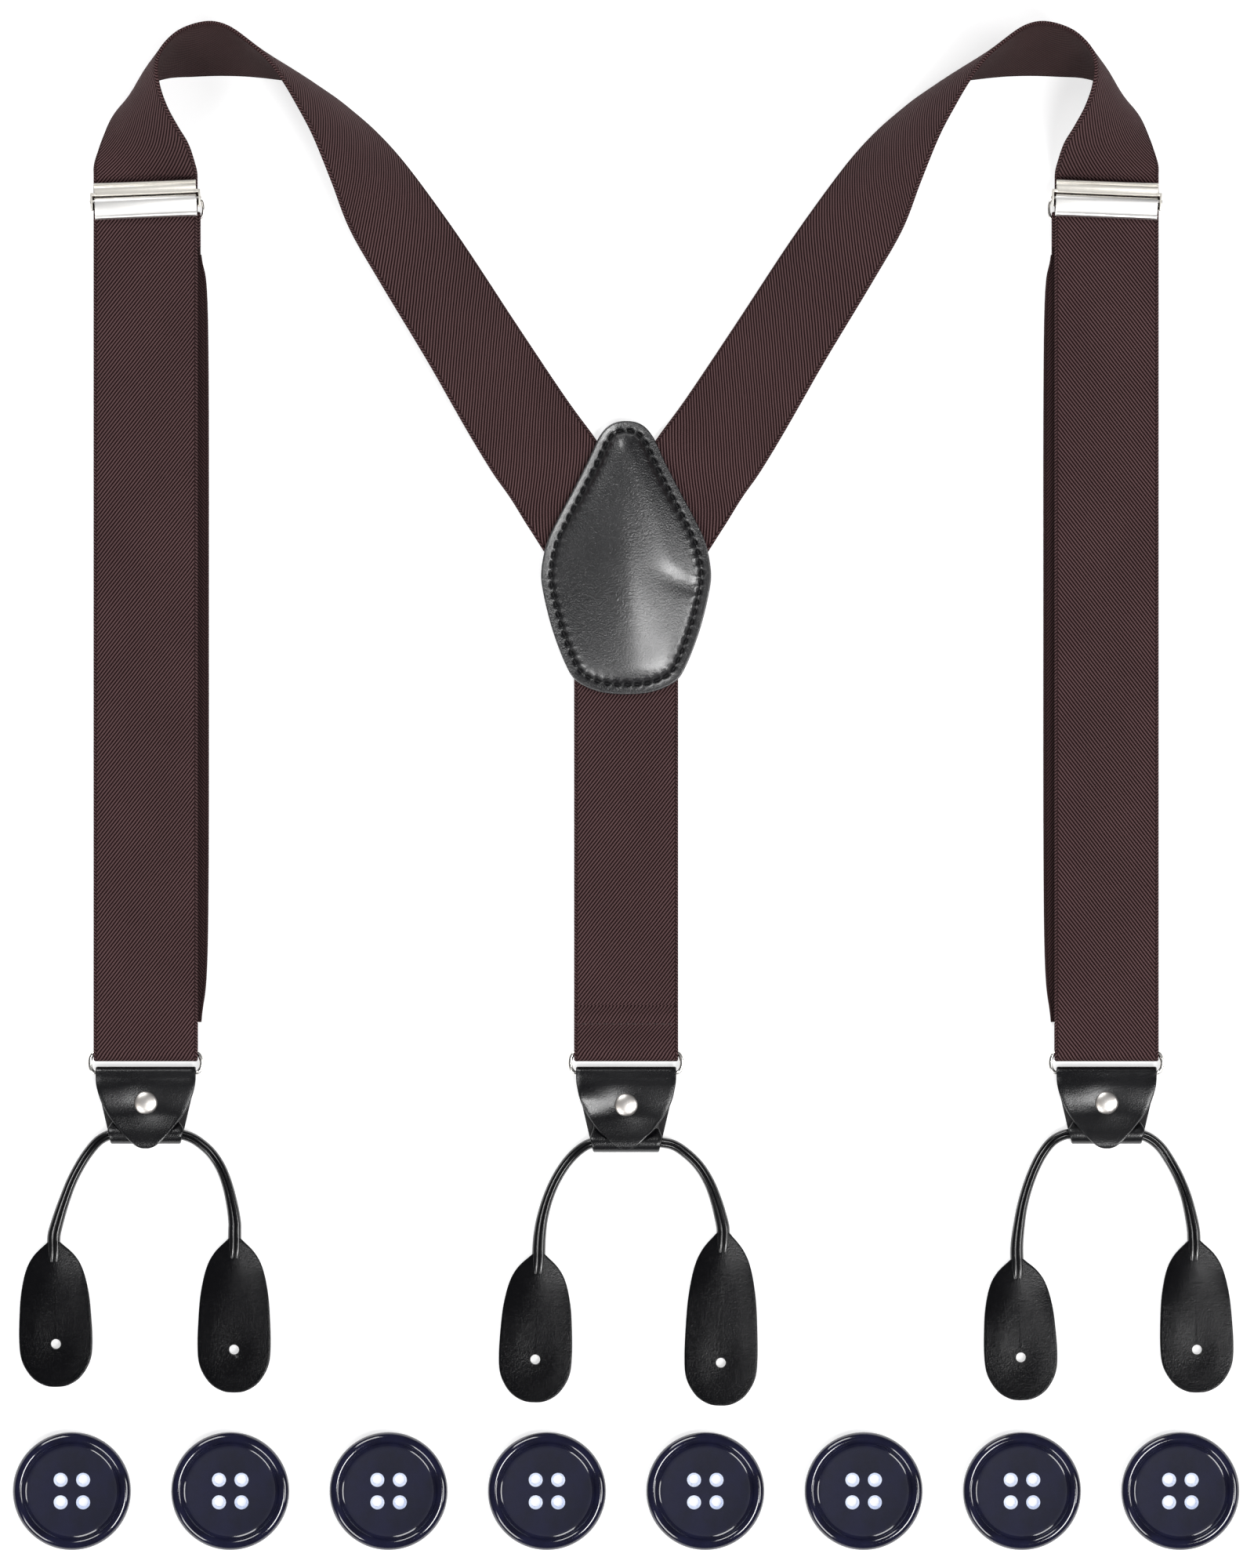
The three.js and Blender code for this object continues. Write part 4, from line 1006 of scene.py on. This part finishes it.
# Each loop's tabs are rows of the hole's x and y, the turn in degrees and the reach. A route's rows are x, y
# and, where it isn't CORD_Z, a height.
LOOPS = {
    "left": {
        "x": -SIDE_X,
        "fold_y": -116.5,
        "rivet_y": -105.9,
        "tip_y": -120.9,
        "lift": 0.5,
        "tabs": [(-191.4, -186.9, 1.2, 34.4), (-131.6, -188.8, -0.3, 37.5)],
        "route": [
            (-192.13, -152.2), (-191.95, -150.0), (-191.3, -147.4), (-190.0, -143.0), (-188.3, -138.0),
            (-186.3, -132.8), (-183.8, -127.8), (-180.7, -122.9, 2.1), (-176.9, -118.6, 2.6),
            (-172.6, -116.5, CHANNEL_Z), (-168.2, -116.5, CHANNEL_Z), (-161.2, -116.5, CHANNEL_Z),
            (-154.2, -116.5, CHANNEL_Z), (-149.8, -116.5, CHANNEL_Z), (-145.6, -117.8, 2.8),
            (-141.9, -120.3, 2.3), (-138.8, -123.4), (-135.9, -128.0), (-133.7, -134.0),
            (-132.1, -141.0), (-131.4, -146.0), (-131.38, -148.5), (-131.4, -151.0),
        ],
    },
    "centre": {
        "x": 0.0,
        "fold_y": -119.3,
        "rivet_y": -106.6,
        "tip_y": -121.1,
        "lift": 2.1,
        "tabs": [(-30.5, -192.1, -1.9, 35.6), (31.8, -193.2, -1, 43.9)],
        "route": [
            (-29.33, -156.2), (-29.22, -153.4), (-28.95, -150.0), (-28.2, -145.0), (-26.6, -139.0),
            (-24.2, -133.0), (-21.0, -127.5), (-17.4, -123.2, 2.2), (-13.6, -120.3, 2.8),
            (-10.8, -119.4, CHANNEL_Z), (-7.0, -119.3, CHANNEL_Z), (0, -119.3, CHANNEL_Z),
            (7.0, -119.3, CHANNEL_Z), (10.9, -119.2, CHANNEL_Z), (15.8, -120.1, 2.6),
            (20.3, -123.0, 2.1), (24.6, -127.3), (28.0, -132.9), (30.3, -139.0), (31.8, -144.5),
            (32.4, -147.2), (32.57, -149.0),
        ],
    },
    "right": {
        "x": SIDE_X,
        "fold_y": -116.5,
        "rivet_y": -105.9,
        "tip_y": -120.9,
        "lift": 0.5,
        "tabs": [(132.5, -191.4, 2.3, 33.2), (191.6, -188.8, 1.6, 36.8)],
        "route": [
            (131.16, -157.9), (131.12, -155.4), (131.3, -152.0), (131.9, -147.0), (132.9, -141.0),
            (134.6, -134.6), (137.0, -128.2), (139.7, -123.0, 2.1), (143.1, -118.8, 2.6),
            (147.3, -116.6, 3.1), (151.0, -116.5, CHANNEL_Z), (154.2, -116.5, CHANNEL_Z),
            (161.2, -116.5, CHANNEL_Z), (168.2, -116.5, CHANNEL_Z), (171.8, -116.5, CHANNEL_Z),
            (175.6, -117.8, 2.8), (179.2, -120.7, 2.3), (182.3, -125.1), (185.4, -130.8),
            (187.9, -137.2), (189.5, -143.6), (190.4, -148.6), (190.58, -151.7),
        ],
    },
}


def tab_down(degrees):
    """The direction from a tab's neck towards its round end."""
    angle = math.radians(degrees)
    return np.array([math.sin(angle), -math.cos(angle)])


def sunk_ends(route, tabs):
    """The route with both ends carried on down into their tabs."""
    rows = [np.array(p if len(p) == 3 else (*p, CORD_Z), float) for p in route]
    first, last = (tab_down(tab[2]) for tab in tabs)
    sinking = [(2.4, 1.95), (4.8, 1.9), (7.2, 1.5), (9.6, 0.75)]
    before = [np.append(rows[0][:2] + first * d, z) for d, z in reversed(sinking)]
    after = [np.append(rows[-1][:2] + last * d, z) for d, z in sinking]
    return np.array(before + rows + after)


def add_rolled_loop(name, route, tabs):
    """A strip of leather rolled inwards from both sides: two ridges show on top, with a seam between."""
    line = spline(sunk_ends(route, tabs), 6)
    forward = unit(np.gradient(line, axis=0))
    side = unit(np.cross(forward, (0, 0, 1)))
    up = np.cross(side, forward)
    along = distance_along(line)
    near_end = np.minimum(along, along[-1] - along)
    wide = 1.0 + 0.28 * np.exp(-(((near_end - 9) / 13) ** 2))
    rings = []
    for p, s, u, w in zip(line, side, up, wide):
        ring = []
        for a in np.radians(np.arange(0, 360, 10)):
            seam = 0.5 * math.exp(-(((a - math.pi / 2) / 0.16) ** 2))
            shoulder = 0.12 * math.exp(-(((abs(a - math.pi / 2) - 0.62) / 0.35) ** 2))
            r = CORD_R - 0.05 - seam + shoulder
            at = p + s * (r * w * 1.03 * math.cos(a)) + u * (r * math.sin(a))
            ring.append((at[0], at[1], max(at[2], CORD_LOWEST_Z)))
        rings.append(ring)
    piece = tube(f"rolled_leather_{name}", np.array(rings), [CORD_LEATHER], sharp=80)
    settle(piece, f"loop_{name}", "leather", f"rolled_loop_{name}")


def tab_y(y, reach):
    """A height on the usual tab moved to where it lies on a tab of another reach."""
    return y * reach / TAB_REACH if y > -TAB_REACH else y + TAB_REACH - reach


def tab_outline(step, reach):
    right = [(x, tab_y(y, reach)) for x, y in TAB_SIDE]
    left = [(-x, y) for x, y in reversed(right)]
    return even_loop([*right, (0, tab_y(-TAB_LENGTH, reach)), *left], step)


def tab_hole(low, high, reach):
    """A tool that cuts the round hole."""
    flare = [(0, low), (1.62, low), (1.62, high - 0.7), (1.95, high - 0.12), (1.95, high + 4), (0, high + 4)]
    hole = turned("hole", flare, 32, [TAB_LEATHER])
    hole.location = (0, -reach * MM, 0)
    return hole


def add_tab(name, body, node, hole_x, hole_y, degrees, reach):
    outline = tab_outline(0.7, reach)
    low_end = tab_y(-38.5, reach)

    def middle(line):
        return np.column_stack([line[:, 0] * 0, np.clip(line[:, 1], low_end, -1)])

    def top(p, depth):
        x, y = p[:, 0], p[:, 1]
        fade = 1 / (1 + np.exp((-y - 7.5) / 2.4))
        skirt = 0.32 * np.exp(-((x / 3.4) ** 2)) * fade
        droop = 1.1 * np.clip(np.abs(x) / 11, 0, 1) ** 2 * np.exp(-(((y + 8) / 9) ** 2))
        crown = 0.16 * np.clip(depth / 6, 0, 1)
        dish = 0.3 * np.exp(-(((y + reach) / 8) ** 2)) * np.exp(-((x / 7) ** 2))
        curl = 0.5 * np.clip((-y - reach - 4) / 10, 0, 1) ** 2
        return 2.85 + skirt + crown - droop - dish + curl - rounded_edge(depth, 0.4)

    def bottom(p, depth):
        return 1.62 - 1.35 / (1 + np.exp((-p[:, 1] - 3) / 1.2)) + rounded_edge(depth, 0.3) * 0.8

    insets = [0, 0.05, 0.14, 0.28, 0.45, 0.8, 1.5]
    shares = [0.12, 0.26, 0.4, 0.55, 0.7, 0.84, 0.955]
    leather = padded_shell(f"{name}_face", outline, middle, insets, shares, top, bottom, [TAB_LEATHER])
    slit = plate(-0.06, 0.06, -reach + 1, -reach + 19, 2.2, 7, 0.01, TAB_LEATHER)
    carve(leather, tab_hole(-1, 3.0, reach), slit)
    lining = padded_shell(
        f"{name}_back",
        tab_outline(1.0, reach),
        middle,
        [0, 0.1, 0.3, 0.5, 1.5],
        [0.3, 0.6, 0.955],
        lambda p, d: 1.45 - rounded_edge(d, 0.35) + 0 * p[:, 0],
        lambda p, d: rounded_edge(d, 0.35) + 0 * p[:, 0],
        [SUEDE],
    )
    carve(lining, tab_hole(-1, 3.0, reach))
    neck = np.array([hole_x, hole_y]) - tab_down(degrees) * reach
    for piece, part in ((leather, "leather"), (lining, "lining")):
        piece.rotation_euler = (0, 0, math.radians(degrees))
        piece.location = (neck[0] * MM, neck[1] * MM, 0)
        settle(piece, body, "leather", f"{node}_{part}")


# ---- Adjusters ----


def profile_bar(name, profile, x0, x1, material):
    """A bar along X with the given outline of y and z, its ends slightly rounded."""
    outline = np.asarray(profile, float)
    centre = outline.mean(axis=0)
    rings = []
    rounding = [(0, 0.22), (0.12, 0.06), (0.35, 0)]
    ends = [(x0 + d, shrink) for d, shrink in rounding]
    ends += [(x1 - d, shrink) for d, shrink in reversed(rounding)]
    for x, shrink in ends:
        inner = outline + unit(centre - outline) * shrink
        rings.append(np.column_stack([np.full(len(outline), x), inner]))
    return tube(name, np.array(rings), [material], sharp=32)


LEVER_TOP = [
    (1.2, 7.5), (1.15, 8.0), (0.88, 8.46), (0.4, 8.76), (-0.1, 8.86), (-0.8, 8.86), (-1.8, 8.78),
    (-2.9, 8.6), (-3.9, 8.34), (-4.7, 8.05), (-4.95, 7.86), (-5.15, 7.88), (-5.6, 7.7),
    (-5.95, 7.2), (-6.1, 6.5),
]
LEVER_UNDER = [
    (-5.6, 6.4), (-5.4, 6.95), (-4.9, 7.25), (-3.4, 7.75), (-1.5, 8.1), (-0.6, 6.5), (0.3, 6.15),
    (0.9, 6.6),
]
BAND = [
    (6.05, 7.55), (6.12, 8.3), (5.9, 8.68), (5.5, 8.72), (5.28, 8.4), (5.02, 8.3), (4.8, 8.5),
    (4.4, 8.62), (3.5, 8.54), (2.4, 8.4), (2.1, 8.46), (1.85, 8.36), (1.65, 8.05), (1.55, 6.6),
]
BAND_UNDER = [(1.95, 6.6), (2.1, 7.45), (2.4, 7.9), (3.6, 7.95), (5.3, 7.9), (5.6, 7.5)]


def lift_over(piece, x, turn):
    """Moves a piece made round the adjuster's middle to where the adjuster lies."""
    piece.rotation_euler = (0, 0, turn)
    piece.location = (x * MM, ADJUSTER_Y * MM, 0)
    bpy.context.view_layer.update()


def add_adjuster(name, side):
    body = f"adjuster_{name}"
    turn = -side * ADJUSTER_TILT
    x = side * SIDE_X
    band = profile_bar("band", BAND + BAND_UNDER, -ADJUSTER_HALF, ADJUSTER_HALF, SATIN_NICKEL)
    parts = [band]
    parts.append(plate(-EAR_OUTER, EAR_OUTER, -EAR_HALF, EAR_HALF, BACK_PLATE_Z, 3.9, 0.12, SATIN_NICKEL))
    for s in (-1, 1):
        low, high = sorted((s * EAR_INNER, s * EAR_OUTER))
        parts.append(plate(low, high, -EAR_HALF, EAR_HALF, BACK_PLATE_Z, 8.6, 0.16, SATIN_NICKEL))
        low, high = sorted((s * (ADJUSTER_HALF - 0.6), s * EAR_OUTER))
        parts.append(plate(low, high, 1.8, EAR_HALF, 7.75, 8.55, 0.14, SATIN_NICKEL))
    for part in parts:
        lift_over(part, x, turn)
    for lug in (-12, 12):
        hook = plate(lug - 1.5, lug + 1.5, -1.5, 1.5, LINK_Z - 1.1, BACK_PLATE_Z + 0.3, 0.2, SATIN_NICKEL)
        lift_over(hook, x, 0)
        parts.append(hook)
    frame_piece = joined(f"adjuster_plate_{name}", parts, 32)
    settle(frame_piece, body, "nickel", f"adjuster_frame_{name}")

    outline = LEVER_TOP + LEVER_UNDER
    lever = profile_bar(f"adjuster_flap_{name}", outline, -ADJUSTER_HALF, ADJUSTER_HALF, LEVER_NICKEL)
    lift_over(lever, x, turn)
    settle(lever, f"lever_{name}", "nickel", f"adjuster_lever_{name}")

    head = [(0, -18.9), (0.3, -18.86), (0.55, -18.74), (0.72, -18.55), (0.72, -18.42), (0.5, -18.4)]
    rod = head + [(r, -z) for r, z in reversed(head)]
    pin = turned(f"adjuster_rod_{name}", rod, 20, [BRIGHT_NICKEL])
    pin.data.transform(Matrix.Rotation(math.pi / 2, 4, "Y"))
    pin.location = (x * MM, ADJUSTER_Y * MM, PIN_Z * MM)
    pin.rotation_euler = (0, 0, turn)
    settle(pin, body, "nickel", f"adjuster_pin_{name}")

    line = long_loop(x - side * RETURN_END_SHIFT, ADJUSTER_Y, LINK_STRAIGHT, LINK_END, LINK_PITCH, 9)
    link = wire_loop(f"adjuster_wire_{name}", line, LINK_Z, LINK_WIRE_R, BRIGHT_NICKEL)
    settle(link, body, "nickel", f"adjuster_link_{name}")


# ---- Buttons ----

BUTTON_PROFILE = [
    (0, 0), (14.2, 0), (15.6, 0.15), (17.6, 0.85), (19.0, 1.95), (19.65, 3.0), (19.85, 3.9),
    (19.75, 4.7), (19.4, 5.45), (18.85, 6.0), (18.2, 6.35), (17.6, 6.4), (17.1, 6.28),
    (16.7, 6.02), (16.35, 5.65), (16.0, 5.2), (15.7, 4.88), (15.35, 4.7), (15.15, 4.62),
    (14.85, 4.68), (14.2, 4.64), (12.5, 4.54), (10.5, 4.45), (9, 4.42), (8, 4.42), (0, 4.42),
]
BUTTON_FACE_ROW = 18
BUTTON_HOLE_OUT = 3.77
BUTTON_HOLE_R = 2.35
BUTTONS = 8


def add_buttons():
    blank = turned("button_blank", BUTTON_PROFILE, 96, [RIM_RESIN, FACE_RESIN], bands=[BUTTON_FACE_ROW])
    tools = []
    flare = [(0, -2), (1.5, -2), (1.5, 0.8), (1.8, 2.6), (2.1, 4.05), (2.36, 4.44), (2.36, 9), (0, 9)]
    for sx in (-1, 1):
        for sy in (-1, 1):
            tool = turned("hole", flare, 32, [HOLE_PAINTED_LIGHT])
            tool.location = (sx * BUTTON_HOLE_OUT * MM, sy * BUTTON_HOLE_OUT * MM, 0)
            tools.append(tool)
    carve(blank, *tools)
    smooth(blank.data, 26)
    paint_holes_lit(blank.data)
    for i in range(BUTTONS):
        piece = bpy.data.objects.new(f"trouser_button_{i + 1}", blank.data.copy())
        bpy.context.scene.collection.objects.link(piece)
        piece.location = ((i - (BUTTONS - 1) / 2) * BUTTON_PITCH * MM, BUTTON_Y * MM, 0)
        settle(piece, f"button_{i + 1}", "button", f"button_{i + 1}")
    bpy.data.objects.remove(blank)


def paint_holes_lit(mesh):
    """Paints the holes' walls near white: painted light, for the bright table that shows through the holes.
    """
    if HOLE_PAINTED_LIGHT.name not in mesh.materials:
        mesh.materials.append(HOLE_PAINTED_LIGHT)
    pale = list(mesh.materials).index(HOLE_PAINTED_LIGHT)
    for face in mesh.polygons:
        x, y = abs(face.center.x) / MM, abs(face.center.y) / MM
        inside = math.hypot(x - BUTTON_HOLE_OUT, y - BUTTON_HOLE_OUT) < BUTTON_HOLE_R
        if inside and abs(face.normal.z) < 0.9:
            face.material_index = pale


# ---- The whole ----

for label, sign in (("left", -1), ("right", 1)):
    shoulder_strap(label, sign)
    return_strap(label, sign)
    return_hem(label, sign)
    add_adjuster(label, sign)
back_strap()
add_patch_front()
add_patch_back()
for label, loop in LOOPS.items():
    add_ring(label, loop["x"])
    add_carrier(label, loop["x"], loop["fold_y"], loop["rivet_y"], loop["tip_y"], loop["lift"])
    add_rolled_loop(label, loop["route"], loop["tabs"])
    for number, place in enumerate(loop["tabs"], 1):
        add_tab(f"button_tab_{label}_{number}", f"loop_{label}", f"tab_{label}_{number}", *place)
add_buttons()

# ---- Table and light ----

TABLE_HALF = 200  # metres
corners = [(x * TABLE_HALF, y * TABLE_HALF, 0) for x, y in ((-1, -1), (1, -1), (1, 1), (-1, 1))]
table = bpy.data.objects.new("table", bpy.data.meshes.new("table"))
table.data.from_pydata(corners, [], [(0, 1, 2, 3)])
table.data.materials.append(floor_material())
table.location.z = -0.00005
bpy.context.scene.collection.objects.link(table)


def add_surroundings(above, below_horizon):
    """Soft light from above. Below the horizon it is as pale as the far table, seen only in low views."""
    world = bpy.data.worlds.new("studio")
    bpy.context.scene.world = world
    world.use_nodes = True
    nodes, links = world.node_tree.nodes, world.node_tree.links
    background = nodes["Background"]
    background.inputs[0].default_value = (0.96, 0.97, 1.0, 1)
    direction = nodes.new("ShaderNodeTexCoord")
    height = nodes.new("ShaderNodeSeparateXYZ")
    below = nodes.new("ShaderNodeMath")
    below.operation = "LESS_THAN"
    below.inputs[1].default_value = 0.0
    strength = nodes.new("ShaderNodeMapRange")
    strength.inputs[3].default_value = above
    strength.inputs[4].default_value = below_horizon
    links.new(direction.outputs["Generated"], height.inputs[0])
    links.new(height.outputs[2], below.inputs[0])
    links.new(below.outputs[0], strength.inputs[0])
    links.new(strength.outputs[0], background.inputs[1])


def softbox(name, azimuth, elevation, distance, size, power):
    """A square lamp that faces the middle of the table."""
    lamp = bpy.data.objects.new(name, bpy.data.lights.new(name, "AREA"))
    lamp.data.shape = "SQUARE"
    lamp.data.size = size
    lamp.data.energy = power
    a, e = math.radians(azimuth), math.radians(elevation)
    reach = distance * math.cos(e)
    lamp.location = (reach * math.cos(a), reach * math.sin(a), distance * math.sin(e))
    lamp.rotation_euler = (-lamp.location).to_track_quat("-Z", "Y").to_euler()
    lamp.visible_camera = False
    bpy.context.scene.collection.objects.link(lamp)


add_surroundings(0.09, 0.66)
softbox("high_lower_right", -42, 64, 3.2, 0.95, 54)
softbox("low_left", 228, 40, 3.0, 1.2, 38)
softbox("low_right", -8, 40, 3.0, 1.0, 26)
softbox("low_upper", 118, 40, 3.0, 1.2, 36)

bpy.context.scene.view_settings.view_transform = "Standard"
